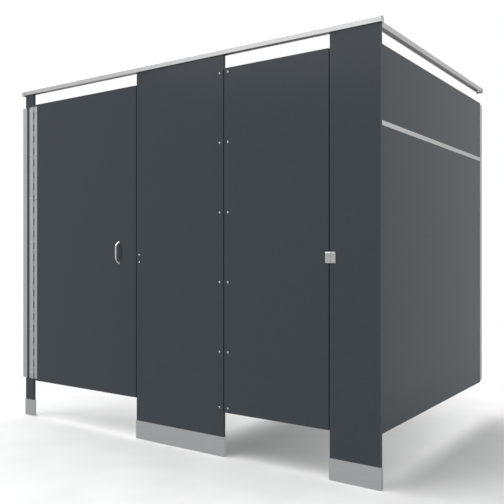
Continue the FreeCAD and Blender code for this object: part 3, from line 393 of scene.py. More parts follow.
def solids(node: str) -> list[Solid]:
    """Find the separate solids in a node.

    Args:
        node: The node's name.

    Returns:
        The solids, in the order of their lowest corners.
    """
    mesh = bmesh.new()
    mesh.from_mesh(frame["nodes"][node].data)
    bmesh.ops.remove_doubles(mesh, verts=mesh.verts, dist=SAME_POINT)
    waiting = set(mesh.verts)
    found = []
    while waiting:
        front = [waiting.pop()]
        points = list(front)
        while front:
            near = {edge.other_vert(vert) for vert in front for edge in vert.link_edges} & waiting
            waiting -= near
            front = list(near)
            points += front
        found.append(Solid.around([vert.co.copy() for vert in points]))
    mesh.free()
    return sorted(found, key=lambda solid: tuple(solid.low))


def on_axis(low: Vector, high: Vector, along: Axis, level: float) -> Vector:
    """The point on a box's middle line along an axis, at one level of it."""
    middle = (low + high) / 2
    return Vector(level if number == along.value else middle[number] for number in range(3))


def rounded(corners: Sequence[Point], radius: float, steps: int = 4) -> list[Point]:
    """Round the corners of a closed outline.

    Args:
        corners: The outline's corners in order.
        radius: The largest radius; short sides get a smaller one.
        steps: Straight pieces in each rounded corner.

    Returns:
        The rounded outline's points in order.
    """
    points = []
    for index, corner in enumerate(corners):
        here = Vector(corner)
        before = Vector(corners[index - 1]) - here
        after = Vector(corners[(index + 1) % len(corners)]) - here
        reach = min(radius / math.tan(before.angle(after) / 2), CORNER_SHARE * before.length,
                    CORNER_SHARE * after.length)
        start = here + before.normalized() * reach
        end = here + after.normalized() * reach
        for step in range(steps + 1):
            share = step / steps
            first, last = start.lerp(here, share), here.lerp(end, share)
            points.append(tuple(first.lerp(last, share)))
    return points


def rectangle(low: Point, high: Point) -> list[Point]:
    """The four corners of a rectangle in order."""
    return [low, (high[0], low[1]), high, (low[0], high[1])]


def l_section(low: Point, high: Point, wall: float) -> list[Point]:
    """The corners of an L section, whose legs lie along a rectangle's lower and far sides."""
    inner, over = high[0] - wall, low[1] + wall
    return [low, (high[0], low[1]), high, (inner, high[1]), (inner, over), (low[0], over)]


def u_section(web: float, lip: float, near: float, far: float, wall: float) -> list[Point]:
    """Draw a U section.

    Args:
        web: The place of its web's outer face.
        lip: The place of its two open edges, in the same direction.
        near: The place of one outer side, in the other direction.
        far: The place of the other outer side.
        wall: The thickness of the web and the sides.

    Returns:
        The outline's corners.
    """
    inner = web + math.copysign(wall, lip - web)
    return [(web, near), (lip, near), (lip, near + wall), (inner, near + wall), (inner, far - wall),
            (lip, far - wall), (lip, far), (web, far)]


def flipped(outline: Sequence[Point]) -> list[Point]:
    """An outline with its two directions changed over."""
    return [(second, first) for first, second in outline]


def sized(profile: Sequence[Point], radius: float, height: float) -> list[Point]:
    """A turned profile at its real size, from shares of its radius and height."""
    return [(share * radius, rise * height) for share, rise in profile]


# Mesh tools

def placed(name: str, data: bpy.types.ID) -> Piece:
    """Put a new object into the scene.

    Args:
        name: Its name.
        data: Its mesh, lamp or camera.

    Returns:
        The object.
    """
    made = bpy.data.objects.new(name, data)
    bpy.context.scene.collection.objects.link(made)
    return made


class Modeller:
    """Collects simple solids in one mesh and makes an object of them."""

    def __init__(self) -> None:
        """Start an empty mesh with a layer that marks eased edges."""
        self.mesh = bmesh.new()
        self.edge = self.mesh.faces.layers.float.new(EDGE_LAYER)

    def block(self, low: Sequence[float], high: Sequence[float], radius: float, steps: int = 3) -> None:
        """Add a block with rounded edges.

        Args:
            low: Its lowest corner.
            high: Its highest corner.
            radius: The radius of its edges.
            steps: Flat strips in each rounded edge.
        """
        low, high = Vector(low), Vector(high)
        place = Matrix.Translation((low + high) / 2) @ Matrix.Diagonal((*(high - low), 1.0))
        made = bmesh.ops.create_cube(self.mesh, size=1.0, matrix=place)
        edges = {edge for vert in made["verts"] for edge in vert.link_edges}
        eased = bmesh.ops.bevel(self.mesh, geom=list(edges), offset=radius, offset_type="OFFSET",
                                segments=steps, profile=0.5, affect="EDGES", clamp_overlap=True)
        for face in eased["faces"]:
            face[self.edge] = 1.0

    def ring(self, outline: Sequence[Point], along: Axis, level: float) -> Ring:
        """Add an outline's points at one level of an axis.

        Args:
            outline: The points, in the two directions across the axis in order.
            along: The axis.
            level: Their place along it.

        Returns:
            The new points.
        """
        first, second = along.others()
        made = []
        for point in outline:
            place = [level, level, level]
            place[first], place[second] = point
            made.append(self.mesh.verts.new(place))
        return made

    def skin(self, rings: Sequence[Ring], tube: bool = False) -> None:
        """Join rings of points with four-sided faces.

        Args:
            rings: The rings in order, each with as many points.
            tube: Whether the last ring joins the first round an open bore, instead of two closed ends.
        """
        pairs = list(zip(rings, rings[1:]))
        if tube:
            pairs.append((rings[-1], rings[0]))
        else:
            self.mesh.faces.new(rings[0])
            self.mesh.faces.new(rings[-1])
        for low, high in pairs:
            for index in range(len(low)):
                self.mesh.faces.new((low[index - 1], low[index], high[index], high[index - 1]))

    def prism(self, outline: Sequence[Point], along: Axis, start: float, end: float) -> None:
        """Add an outline, drawn across an axis, that is carried along it from a start to an end."""
        self.skin([self.ring(outline, along, level) for level in (start, end)])

    def sleeve(self, outer: Sequence[Point], inner: Sequence[Point], along: Axis, start: float,
               end: float) -> None:
        """Add a tube along an axis, between an outer and an inner outline with as many points each."""
        edges = ((outer, start), (outer, end), (inner, end), (inner, start))
        self.skin([self.ring(outline, along, level) for outline, level in edges], tube=True)

    def lathe(self, profile: Sequence[Point], base: Sequence[float], along: Axis, end: End = End.HIGH,
              steps: int = 28, flutes: int = 0, flute_depth: float = 0.0, tube: bool = False) -> None:
        """Add a turned solid.

        Args:
            profile: Radius and height of each ring, from its base to its top.
            base: The point that the heights count from.
            along: The axis that it is turned about.
            end: The end of the axis that the heights run towards.
            steps: Points in each ring.
            flutes: The number of flutes round it.
            flute_depth: Their depth, as a share of the radius.
            tube: Whether the last ring joins the first round an open bore, instead of two closed ends.
        """
        centre = Vector(base[number] for number in along.others())
        spokes = []
        for step in range(steps):
            angle = 2 * math.pi * step / steps
            factor = 1.0 - flute_depth * math.cos(flutes * angle / 2) ** 2
            spokes.append(Vector((math.cos(angle), math.sin(angle))) * factor)
        rings = []
        for radius, height in profile:
            outline = [tuple(centre + spoke * radius) for spoke in spokes]
            rings.append(self.ring(outline, along, base[along.value] + end.value * height))
        self.skin(rings, tube)

    def rod(self, radius: float, base: Sequence[float], along: Axis, length: float) -> None:
        """Add a plain round rod that runs up an axis from a point."""
        self.lathe([(radius, 0.0), (radius, length)], base, along)

    def make(self, name: str) -> Piece:
        """Turn the collected solids into an object.

        Args:
            name: The object's name.

        Returns:
            The object, in the scene.
        """
        bmesh.ops.recalc_face_normals(self.mesh, faces=self.mesh.faces)
        data = bpy.data.meshes.new(name)
        self.mesh.to_mesh(data)
        self.mesh.free()
        data.shade_smooth()
        data.set_sharp_from_angle(angle=CREASE)
        piece = placed(name, data)
        weighted = piece.modifiers.new("Flat faces", "WEIGHTED_NORMAL")
        weighted.keep_sharp = True
        return piece


def carve(piece: Piece, cutter: Piece) -> None:
    """Cut one object out of another and remove the cutter.

    Args:
        piece: The object to cut.
        cutter: The object that is taken out of it.
    """
    cut = piece.modifiers.new("Cut", "BOOLEAN")
    cut.operation = "DIFFERENCE"
    cut.solver = "EXACT"
    cut.object = cutter
    piece.modifiers.move(len(piece.modifiers) - 1, 0)
    bpy.context.view_layer.update()
    evaluated = piece.evaluated_get(bpy.context.evaluated_depsgraph_get())
    data = bpy.data.meshes.new_from_object(evaluated)
    piece.modifiers.remove(cut)
    data.name = piece.data.name
    piece.data = data
    bpy.data.objects.remove(cutter)


# Sub-assemblies

@dataclass
class SubAssembly(ABC):
    """A group of pieces that are built together and share their finishes."""

    pieces: list[Piece] = field(default_factory=list, init=False)

    @abstractmethod
    def build(self) -> None:
        """Make the group's meshes."""

    @abstractmethod
    def dress(self) -> None:
        """Give each piece its finish."""

    def add(self, shape: Modeller, node: str, how: str, *cutters: Modeller) -> None:
        """Make a piece that stands for a node and moves with the node's body.

        Args:
            shape: The piece's solids.
            node: The node's name.
            how: A word for how the piece is made, which ends its name.
            cutters: Solids that are cut out of the piece.
        """
        piece = shape.make(f"{node}_{how}")
        for cutter in cutters:
            carve(piece, cutter.make("cutter"))
        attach(piece, frame["nodes"][node]["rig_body"])
        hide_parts(node)
        self.pieces.append(piece)

    def keep(self, *nodes: str) -> None:
        """Show nodes as they are, to be dressed with the group."""
        self.pieces += [frame["nodes"][node] for node in nodes]

    def paint(self, finish: Finish, word: str = "") -> None:
        """Give pieces a finish, in place of any that they have.

        Args:
            finish: The finish.
            word: A word in the names of the pieces that get it.
        """
        for piece in self.pieces:
            if word in piece.name:
                piece.data.materials.clear()
                piece.data.materials.append(finish.material())


@dataclass
class SideAssembly(SubAssembly):
    """A sub-assembly that each compartment has one of."""

    side: Side = Side.LEFT

    def node(self, name: str) -> str:
        """The full name of a node on this side."""
        return f"{self.side.value}_{name}"


@dataclass
class Boards(SubAssembly):
    """Pilasters, doors and panel boards, with eased edges."""

    edge_radius: float = 0.0015
    nodes: tuple[str, ...] = ("left_pilaster", "centre_pilaster", "end_pilaster", "wide_door",
                              "narrow_door", "divider_lower_board", "divider_upper_board",
                              "end_panel_lower_board", "end_panel_upper_board")

    def build(self) -> None:
        """Make each board as a block with eased edges."""
        for node in self.nodes:
            shape = Modeller()
            shape.block(*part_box(node), self.edge_radius)
            self.add(shape, node, "eased")

    def dress(self) -> None:
        """Give the boards their charcoal."""
        self.paint(BOARD)


@dataclass
class Shoes(SubAssembly):
    """Folded sheet sleeves round the pilasters' feet, and the levelling gear that they hide."""

    sheet: float = 0.002
    corner: float = 0.0028
    nodes: tuple[str, ...] = ("left_shoe", "centre_shoe", "end_shoe")
    hidden: tuple[str, ...] = ("levelling_bars", "levelling_feet", "levelling_nuts")

    def build(self) -> None:
        """Make each shoe as a sleeve with rounded corners."""
        wall = Vector((self.sheet, self.sheet))
        for node in self.nodes:
            low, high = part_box(node)
            outer = rounded(rectangle(low.xy, high.xy), self.corner)
            inner = rounded(rectangle(low.xy + wall, high.xy - wall), self.corner - self.sheet)
            shape = Modeller()
            shape.sleeve(outer, inner, Axis.Z, low.z, high.z)
            self.add(shape, node, "folded")
        self.keep(*self.hidden)

    def dress(self) -> None:
        """Give the shoes satin steel and the levelling gear its plating."""
        self.paint(STEEL_ACROSS, "shoe")
        self.paint(PLATED, "levelling")


@dataclass
class Channels(SubAssembly):
    """Folded sheet channels along the boards' edges."""

    sheet: float = 0.002
    bend: float = 0.003
    bend_steps: int = 5
    hole_radius: float = 0.0035
    hole_end: float = 0.100
    hole_pitch: float = 0.500

    def build(self) -> None:
        """Make the wall channels, which are drilled, and the pilaster channels."""
        self.channel("left_wall_channel", Axis.X, End.LOW, drilled=True)
        for panel in ("divider", "end_panel"):
            self.channel(f"{panel}_wall_channel", Axis.Y, End.HIGH, drilled=True)
            self.channel(f"{panel}_pilaster_channel", Axis.Y, End.LOW, drilled=False)

    def channel(self, node: str, opening: Axis, web_end: End, drilled: bool) -> None:
        """Make one channel, whose two outer bends are rounded.

        Args:
            node: The node that it stands for.
            opening: The axis along which its slot opens.
            web_end: The end of that axis where its web is.
            drilled: Whether its web has wall holes.
        """
        low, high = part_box(node)
        across = 1 - opening.value
        outer_web, lip = low[opening.value], high[opening.value]
        if web_end is End.HIGH:
            outer_web, lip = lip, outer_web
        corners = u_section(outer_web, lip, low[across], high[across], self.sheet)
        if opening is Axis.Y:
            corners = flipped(corners)
        fine = rounded(corners, self.bend, self.bend_steps)
        count = self.bend_steps + 1
        shape = Modeller()
        shape.prism([*fine[:count], *corners[1:-1], *fine[-count:]], Axis.Z, low.z, high.z)
        cutters = [self.drill(low, high, opening, outer_web)] if drilled else []
        self.add(shape, node, "folded", *cutters)

    def drill(self, low: Vector, high: Vector, opening: Axis, web: float) -> Modeller:
        """Make the cutter for a channel's wall holes.

        Args:
            low: The channel's lowest corner.
            high: Its highest corner.
            opening: The axis along which the holes go.
            web: The web's outer face on that axis.

        Returns:
            The cutter.
        """
        bottom, top = low.z + self.hole_end, high.z - self.hole_end
        reach = 3 * self.sheet
        cutter = Modeller()
        for height in (bottom, bottom + self.hole_pitch, top - self.hole_pitch, top):
            base = on_axis(low, high, opening, web - reach)
            base.z = height
            cutter.rod(self.hole_radius, base, opening, 2 * reach)
        return cutter

    def dress(self) -> None:
        """Give the channels satin steel, brushed upwards."""
        self.paint(STEEL_UP)


@dataclass
class JointBars(SubAssembly):
    """Bars with an H section between a panel's two boards."""

    wall: float = 0.002
    web: float = 0.003
    edge_radius: float = 0.0006
    nodes: tuple[str, ...] = ("divider_joint_bar", "end_panel_joint_bar")

    def build(self) -> None:
        """Make each bar from its section."""
        for node in self.nodes:
            low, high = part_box(node)
            left, right = low.x + self.wall, high.x - self.wall
            middle = (low.z + high.z) / 2
            under, over = middle - self.web / 2, middle + self.web / 2
            section = [(low.x, low.z), (left, low.z), (left, under), (right, under), (right, low.z),
                       (high.x, low.z), (high.x, high.z), (right, high.z), (right, over), (left, over),
                       (left, high.z), (low.x, high.z)]
            shape = Modeller()
            shape.prism(rounded(section, self.edge_radius, steps=3), Axis.Y, low.y, high.y)
            self.add(shape, node, "drawn")

    def dress(self) -> None:
        """Give the bars anodised aluminium."""
        self.paint(RAIL_Y)


@dataclass
class Headrails(SubAssembly):
    """Ridged rails over the boards, their end cap and their brackets."""

    wall: float = 0.0025
    slot: float = 0.020
    grip: float = 0.017
    eaves: float = 0.025
    ridge: float = 0.008
    edge_radius: float = 0.0012
    grooves: int = 4
    groove_depth: float = 0.0006
    # Half a groove's width, as a share of the grooves' pitch
    groove_share: float = 0.18
    bracket_wall: float = 0.003
    bracket_radius: float = 0.0006
    wall_hole_radius: float = 0.0035
    wall_hole_spacing: float = 0.018
    wall_hole_height: float = 0.014

    def build(self) -> None:
        """Make the rails, the end cap and the brackets."""
        self.rail("front_headrail", Axis.X, slotted=True)
        self.rail("side_headrail", Axis.Y, slotted=True)
        self.rail("headrail_end_cap", Axis.X, slotted=False)
        self.wall_bracket("front_rail_wall_bracket", Axis.X, End.LOW)
        self.wall_bracket("side_rail_wall_bracket", Axis.Y, End.HIGH)
        self.corner_bracket()

    def rail(self, node: str, along: Axis, slotted: bool) -> None:
        """Make one rail, or the cap at its end.

        Args:
            node: The node that it stands for.
            along: The axis that it runs along.
            slotted: Whether it has the slot that grips the boards.
        """
        low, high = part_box(node)
        across = along.others()[0]
        section = rounded(self.section(slotted), self.edge_radius, steps=3)
        outline = [(low[across] + first, low.z + second) for first, second in section]
        shape = Modeller()
        shape.prism(outline, along, low[along.value], high[along.value])
        self.add(shape, node, "drawn")

    def section(self, slotted: bool) -> list[Point]:
        """Draw a rail's section from its lower left corner.

        Args:
            slotted: Whether it has the slot that grips the boards.

        Returns:
            The outline's corners.
        """
        low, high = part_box("front_headrail")
        width = high.y - low.y
        left, right = (width - self.slot) / 2, (width + self.slot) / 2
        inner_left, inner_right = self.wall, width - self.wall
        slot = [(left, 0.0), (left, self.wall), (inner_left, self.wall), (inner_left, self.grip),
                (inner_right, self.grip), (inner_right, self.wall), (right, self.wall), (right, 0.0)]
        right_eave, left_eave = (width, self.eaves), (0.0, self.eaves)
        top = (width / 2, self.eaves + self.ridge)
        return [(0.0, 0.0), *(slot if slotted else []), (width, 0.0), right_eave,
                *self.grooved(right_eave, top), top, *self.grooved(top, left_eave), left_eave]

    def grooved(self, start: Point, end: Point) -> list[Point]:
        """Cut grooves across one slope of the ridge.

        Args:
            start: The slope's first end.
            end: Its last end.

        Returns:
            The corners between the two ends.
        """
        first = Vector(start)
        slope = Vector(end) - first
        pitch = slope / (self.grooves + 1)
        deep = Vector((-slope.y, slope.x)).normalized() * self.groove_depth
        half = pitch * self.groove_share
        corners = []
        for number in range(1, self.grooves + 1):
            middle = first + pitch * number
            corners += [tuple(middle - half), tuple(middle + deep), tuple(middle + half)]
        return corners

    def wall_bracket(self, node: str, along: Axis, wall_end: End) -> None:
        """Make the back plate, which is drilled, and the cup that hold a rail's end at the wall.

        Args:
            node: The node that they stand for.
            along: The rail's axis.
            wall_end: The end of that axis where the wall is.
        """
        low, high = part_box(node)
        across = along.others()[0]
        wall = self.bracket_wall
        back_low, back_high = low.copy(), high.copy()
        start, end = low[along.value], high[along.value]
        if wall_end is End.LOW:
            start += wall
            back_high[along.value] = start
        else:
            end -= wall
            back_low[along.value] = end
        back, holes, cup = Modeller(), Modeller(), Modeller()
        back.block(back_low, back_high, self.bracket_radius)
        for side in End:
            base = (back_low + back_high) / 2
            base[across] += side.value * self.wall_hole_spacing / 2
            base[along.value] -= wall
            base.z = low.z + self.wall_hole_height
            holes.rod(self.wall_hole_radius, base, along, 2 * wall)
        section = flipped(u_section(low.z, high.z, low[across], high[across], wall))
        cup.prism(rounded(section, self.bracket_radius), along, start, end)
        self.add(back, node, "back", holes)
        self.add(cup, node, "cup")

    def corner_bracket(self) -> None:
        """Make the angle between the two rails."""
        node = "headrail_corner_bracket"
        low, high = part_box(node)
        section = l_section(low.xy, high.xy, self.bracket_wall)
        shape = Modeller()
        shape.prism(rounded(section, self.bracket_radius), Axis.Z, low.z, high.z)
        self.add(shape, node, "angle")

    def dress(self) -> None:
        """Give the rails anodised aluminium and the brackets satin steel."""
        self.paint(RAIL_X, "headrail")
        self.paint(RAIL_Y, "side_headrail")
        self.paint(STEEL_ACROSS, "bracket")


@dataclass
class PianoHinge(SideAssembly):
    """One full-height hinge: two leaves rolled round a pin."""

    outside: bool = True
    sheet: float = 0.002
    barrel_radius: float = 0.006
    barrel_steps: int = 24
    clear_radius: float = 0.009
    pin_hole: float = 0.00305
    knuckles: int = 46
    gap: float = 0.0016
    chamfer: float = 0.0006
    edge_radius: float = 0.0005

    def build(self) -> None:
        """Make the two leaves and keep the pin."""
        pin = self.node("hinge_pin")
        low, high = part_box(pin)
        axis = (low + high) / 2
        for leaf in Leaf:
            self.leaf(leaf, axis)
        self.keep(pin)

    def leaf(self, leaf: Leaf, axis: Vector) -> None:
        """Make one leaf, with every second knuckle: the frame's leaf has the lowest one.

        Args:
            leaf: The leaf.
            axis: A point on the pin's axis.
        """
        node = self.node(f"hinge_{leaf.value}_leaf")
        low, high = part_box(node)
        plate_low = high.y - self.sheet if self.outside else low.y
        plate_high = plate_low + self.sheet
        overlap = 2 * self.edge_radius
        if leaf is Leaf.FRAME:
            first = 0
            plate = low.x, axis.x - self.clear_radius
            tab = plate[1] - overlap, axis.x
        else:
            first = 1
            plate = axis.x + self.clear_radius, high.x
            tab = axis.x, plate[0] + overlap
        shape = Modeller()
        shape.block((plate[0], plate_low, low.z), (plate[1], plate_high, high.z), self.edge_radius,
                    steps=2)
        pitch = (high.z - low.z) / self.knuckles
        for number in range(first, self.knuckles, 2):
            bottom = low.z + number * pitch + (self.gap / 2 if number else 0.0)
            top = low.z + (number + 1) * pitch - (self.gap / 2 if number < self.knuckles - 1 else 0.0)
            shape.lathe(self.knuckle(top - bottom), (axis.x, axis.y, bottom), Axis.Z,
                        steps=self.barrel_steps, tube=True)
            shape.block((tab[0], plate_low, bottom), (tab[1], plate_high, top), self.edge_radius / 2,
                        steps=1)
        self.add(shape, node, "rolled")

    def knuckle(self, length: float) -> list[Point]:
        """Draw one knuckle's section.

        Args:
            length: The knuckle's length.

        Returns:
            The radius and height of its rings, from its bore round the outside and back.
        """
        rim = self.barrel_radius - self.chamfer
        return [(self.pin_hole, 0.0), (rim, 0.0), (self.barrel_radius, self.chamfer),
                (self.barrel_radius, length - self.chamfer), (rim, length), (self.pin_hole, length)]

    def dress(self) -> None:
        """Give the leaves satin steel and the pin bright steel."""
        self.paint(STEEL_UP, "leaf")
        self.paint(FASTENER, "pin")


@dataclass(frozen=True)
class FastenerSize:
    """The radius and height of a fastener's head, its shank's radius, and whether both ends have heads."""

    head: float
    dome: float
    shank: float
    two_heads: bool


@dataclass
class Fasteners(SubAssembly):
    """Through bolts and screws with domed heads and pinned sockets."""

    bolt: FastenerSize = FastenerSize(head=0.0055, dome=0.0022, shank=0.003, two_heads=True)
    screw: FastenerSize = FastenerSize(head=0.004, dome=0.0018, shank=0.002, two_heads=False)
    shank_start: float = 0.00108
    bolts: tuple[str, ...] = ("channel_bolts", "hinge_frame_bolts", "left_hinge_door_bolts",
                              "right_hinge_door_bolts", "keeper_bolts")
    screws: tuple[str, ...] = ("channel_screws", "headrail_screws", "foot_screws", "wide_door_screws",
                               "narrow_door_screws")
    # Shares of the head's radius and height: rim, dome, socket and the pin in it
    head_profile: tuple[Point, ...] = ((1.0, 0.0), (1.0, 0.12), (0.93, 0.45), (0.78, 0.76),
                                       (0.58, 0.95), (0.4104, 1.0), (0.38, 0.94), (0.38, 0.45),
                                       (0.14, 0.45), (0.14, 0.9))
    # Shares of the shank's radius: its ends' radius, and the length over which it widens
    shank_tip: float = 0.6
    shank_taper: float = 0.3
    head_steps: int = 24
    shank_steps: int = 16

    def build(self) -> None:
        """Make a mesh for each group of bolts or screws."""
        kinds = {node: self.bolt for node in self.bolts} | {node: self.screw for node in self.screws}
        for node, size in kinds.items():
            shape = Modeller()
            for solid in solids(node):
                self.fastener(shape, solid, size)
            self.add(shape, node, "domed")

    def fastener(self, shape: Modeller, solid: Solid, size: FastenerSize) -> None:
        """Add one fastener: domed heads with a pin in a round socket, and a plain shank.

        Args:
            shape: The mesh that it goes into.
            solid: Its place.
            size: Its sizes.
        """
        along = solid.along
        bottom, top = solid.low[along.value], solid.high[along.value]
        head = sized(self.head_profile, size.head, size.dome)
        for end in End if size.two_heads else (solid.head,):
            level = top - size.dome if end is End.HIGH else bottom + size.dome
            shape.lathe(head, on_axis(solid.low, solid.high, along, level), along, end, self.head_steps)
        start, stop = self.shank_start, top - bottom - self.shank_start
        tip, taper = self.shank_tip * size.shank, self.shank_taper * size.shank
        shank = [(tip, start), (size.shank, start + taper), (size.shank, stop - taper), (tip, stop)]
        shape.lathe(shank, on_axis(solid.low, solid.high, along, bottom), along, steps=self.shank_steps)

    def dress(self) -> None:
        """Give the bolts and screws bright steel."""
        self.paint(FASTENER)


@dataclass
class Keepers(SubAssembly):
    """Keepers inside the pilasters, the strike outside, and their rubber buffers."""

    plate: float = 0.003
    plate_width: float = 0.035
    loop_inset: float = 0.006
    loop_width: float = 0.020
    loop_wall: float = 0.0035
    loop_inside: float = 0.019
    loop_radius: float = 0.003
    lip_height: float = 0.013
    lip_root: float = 0.007
    edge_radius: float = 0.0008
    strike_plate_width: float = 0.032
    strike_root: float = 0.0065
    strike_face: float = 0.0045
    strike_bevel: float = 0.0025
    pad_radius: float = 0.0009

    def build(self) -> None:
        """Make the two keepers, the strike and the buffers."""
        self.keeper("left_keeper", lipped=True)
        self.keeper("right_keeper", lipped=False)
        self.strike()
        self.buffers("left_keeper_buffers")
        self.buffers("right_strike_buffer")

    def keeper(self, node: str, lipped: bool) -> None:
        """Make one keeper.

        Args:
            node: The node that it stands for.
            lipped: Whether it has the two lips that stop the door.
        """
        low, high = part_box(node)
        plate_x, plate_y = high.x - self.plate_width, low.y + self.plate
        shape = Modeller()
        shape.block((plate_x, low.y, low.z), (high.x, plate_y, high.z), self.edge_radius)
        middle, reach = (low.z + high.z) / 2, self.loop_inside / 2 + self.loop_wall
        loop = u_section(high.y, low.y + self.plate / 2, middle - reach, middle + reach, self.loop_wall)
        loop_x = plate_x + self.loop_inset
        shape.prism(rounded(loop, self.loop_radius, steps=5), Axis.X, loop_x, loop_x + self.loop_width)
        if lipped:
            for bottom in (low.z, high.z - self.lip_height):
                far = (plate_x + self.lip_root, plate_y + self.plate, bottom + self.lip_height)
                shape.block((low.x, plate_y, bottom), far, self.edge_radius)
        self.add(shape, node, "cast")

    def strike(self) -> None:
        """Make the strike: a plate on the pilaster and a proud block across the gap."""
        node = "right_strike_plate"
        low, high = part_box(node)
        plate_x, bevel = high.x - self.strike_plate_width, self.strike_bevel
        shape = Modeller()
        shape.block((plate_x, high.y - self.plate, low.z), high, self.edge_radius)
        back = low.y + self.strike_face
        section = [(low.y, low.z + bevel), (low.y + bevel, low.z), (back, low.z), (back, high.z),
                   (low.y + bevel, high.z), (low.y, high.z - bevel)]
        shape.prism(rounded(section, self.edge_radius, steps=3), Axis.X, low.x, plate_x + self.strike_root)
        self.add(shape, node, "cast")

    def buffers(self, node: str) -> None:
        """Make a node's buffers as soft-edged pads.

        Args:
            node: The node that they stand for.
        """
        shape = Modeller()
        for solid in solids(node):
            shape.block(solid.low, solid.high, self.pad_radius)
        self.add(shape, node, "pads")

    def dress(self) -> None:
        """Give the castings satin steel and the buffers rubber."""
        self.paint(FITTING)
        self.paint(RUBBER, "buffer")


@dataclass
class SlideLatch(SideAssembly):
    """A slide latch: a case on the door, and a bolt with a knob that slide in it."""

    case_wall: float = 0.006
    case_radius: float = 0.0025
    play: float = 0.0003
    throw: float = 0.028
    nose_radius: float = 0.002
    neck_radius: float = 0.004
    neck_length: float = 0.009
    neck_overlap: float = 0.001
    # Radius and height of the grip's rings over the neck
    grip: tuple[Point, ...] = ((0.0088, 0.0), (0.010, 0.001), (0.0087, 0.0098), (0.0078, 0.0113),
                               (0.0061, 0.012), (0.002, 0.012))
    flutes: int = 18
    flute_steps: int = 8
    flute_depth: float = 0.05

    def build(self) -> None:
        """Make the case, the bolt and the knob."""
        self.case()
        self.bolt()
        self.knob()

    def case(self) -> None:
        """Make the case, with the bolt's passage and the knob's slot cut out of it."""
        node = self.node("latch_case")
        low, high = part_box(node)
        bolt_low, bolt_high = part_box(self.node("latch_bolt"))
        knob_low, knob_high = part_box(self.node("latch_knob"))
        shape, passage, slot = Modeller(), Modeller(), Modeller()
        shape.block(low, high, self.case_radius, steps=4)
        gap, travel = Vector((self.play, self.play, self.play)), Vector((self.throw, 0.0, 0.0))
        passage.block(bolt_low - gap, bolt_high + gap + travel, self.play / 2, steps=1)
        middle = (knob_low + knob_high) / 2
        reach = self.neck_radius + self.play
        outline = rectangle((middle.x - reach, middle.z - reach),
                            (middle.x + self.throw + reach, middle.z + reach))
        start, end = bolt_high.y - self.play, high.y + self.case_wall
        slot.prism(rounded(outline, reach, steps=8), Axis.Y, start, end)
        self.add(shape, node, "cast", passage, slot)

    def bolt(self) -> None:
        """Make the bolt with a rounded nose."""
        node = self.node("latch_bolt")
        low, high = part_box(node)
        shape = Modeller()
        shape.prism(rounded(rectangle(low.xy, high.xy), self.nose_radius), Axis.Z, low.z, high.z)
        self.add(shape, node, "drawn")

    def knob(self) -> None:
        """Make the knob: a neck and a fluted grip with a rounded face."""
        node = self.node("latch_knob")
        low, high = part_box(node)
        base = on_axis(low, high, Axis.Y, low.y)
        grip = [(radius, self.neck_length + height) for radius, height in self.grip]
        shape = Modeller()
        shape.rod(self.neck_radius, base, Axis.Y, self.neck_length + self.neck_overlap)
        shape.lathe(grip, base, Axis.Y, steps=self.flute_steps * self.flutes, flutes=self.flutes,
                    flute_depth=self.flute_depth)
        self.add(shape, node, "turned")

    def dress(self) -> None:
        """Give the latch satin steel."""
        self.paint(FITTING)


@dataclass
class CoatHook(SideAssembly):
    """A coat hook with a rubber buffer on its tip."""

    plate: float = 0.004
    arm: float = 0.006
    arm_rise: float = 0.008
    bend: float = 0.0025
    edge_radius: float = 0.0012
    buffer_rim: float = 0.0007
    # Shares of the buffer's radius and length: its side and its rounded face
    buffer_profile: tuple[Point, ...] = ((1.0, 0.62), (0.93, 0.82), (0.75, 0.95), (0.45, 1.0), (0.1, 1.0))
    buffer_foot: float = 0.94

    def build(self) -> None:
        """Make the hook and its buffer."""
        self.hook()
        self.buffer()

    def hook(self) -> None:
        """Make the plate, and the arm that turns up at its tip."""
        node = self.node("coat_hook")
        low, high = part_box(node)
        buffer_low, buffer_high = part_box(self.node("hook_buffer"))
        shape = Modeller()
        shape.block(low, (high.x, low.y + self.plate, high.z), self.edge_radius)
        under = low.z + self.arm_rise
        top = buffer_low.z + buffer_high.z - under
        section = l_section((low.y + self.plate / 2, under), (high.y, top), self.arm)
        shape.prism(rounded(section, self.bend, steps=5), Axis.X, low.x, high.x)
        self.add(shape, node, "bent")

    def buffer(self) -> None:
        """Make the buffer: a plug with a rounded face."""
        node = self.node("hook_buffer")
        low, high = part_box(node)
        radius, length = (high.x - low.x) / 2, high.y - low.y
        profile = [(self.buffer_foot * radius, 0.0), (radius, self.buffer_rim),
                   *sized(self.buffer_profile, radius, length)]
        shape = Modeller()
        shape.lathe(profile, on_axis(low, high, Axis.Y, low.y), Axis.Y)
        self.add(shape, node, "moulded")

    def dress(self) -> None:
        """Give the hook satin steel and its buffer rubber."""
        self.paint(FITTING)
        self.paint(RUBBER, "buffer")


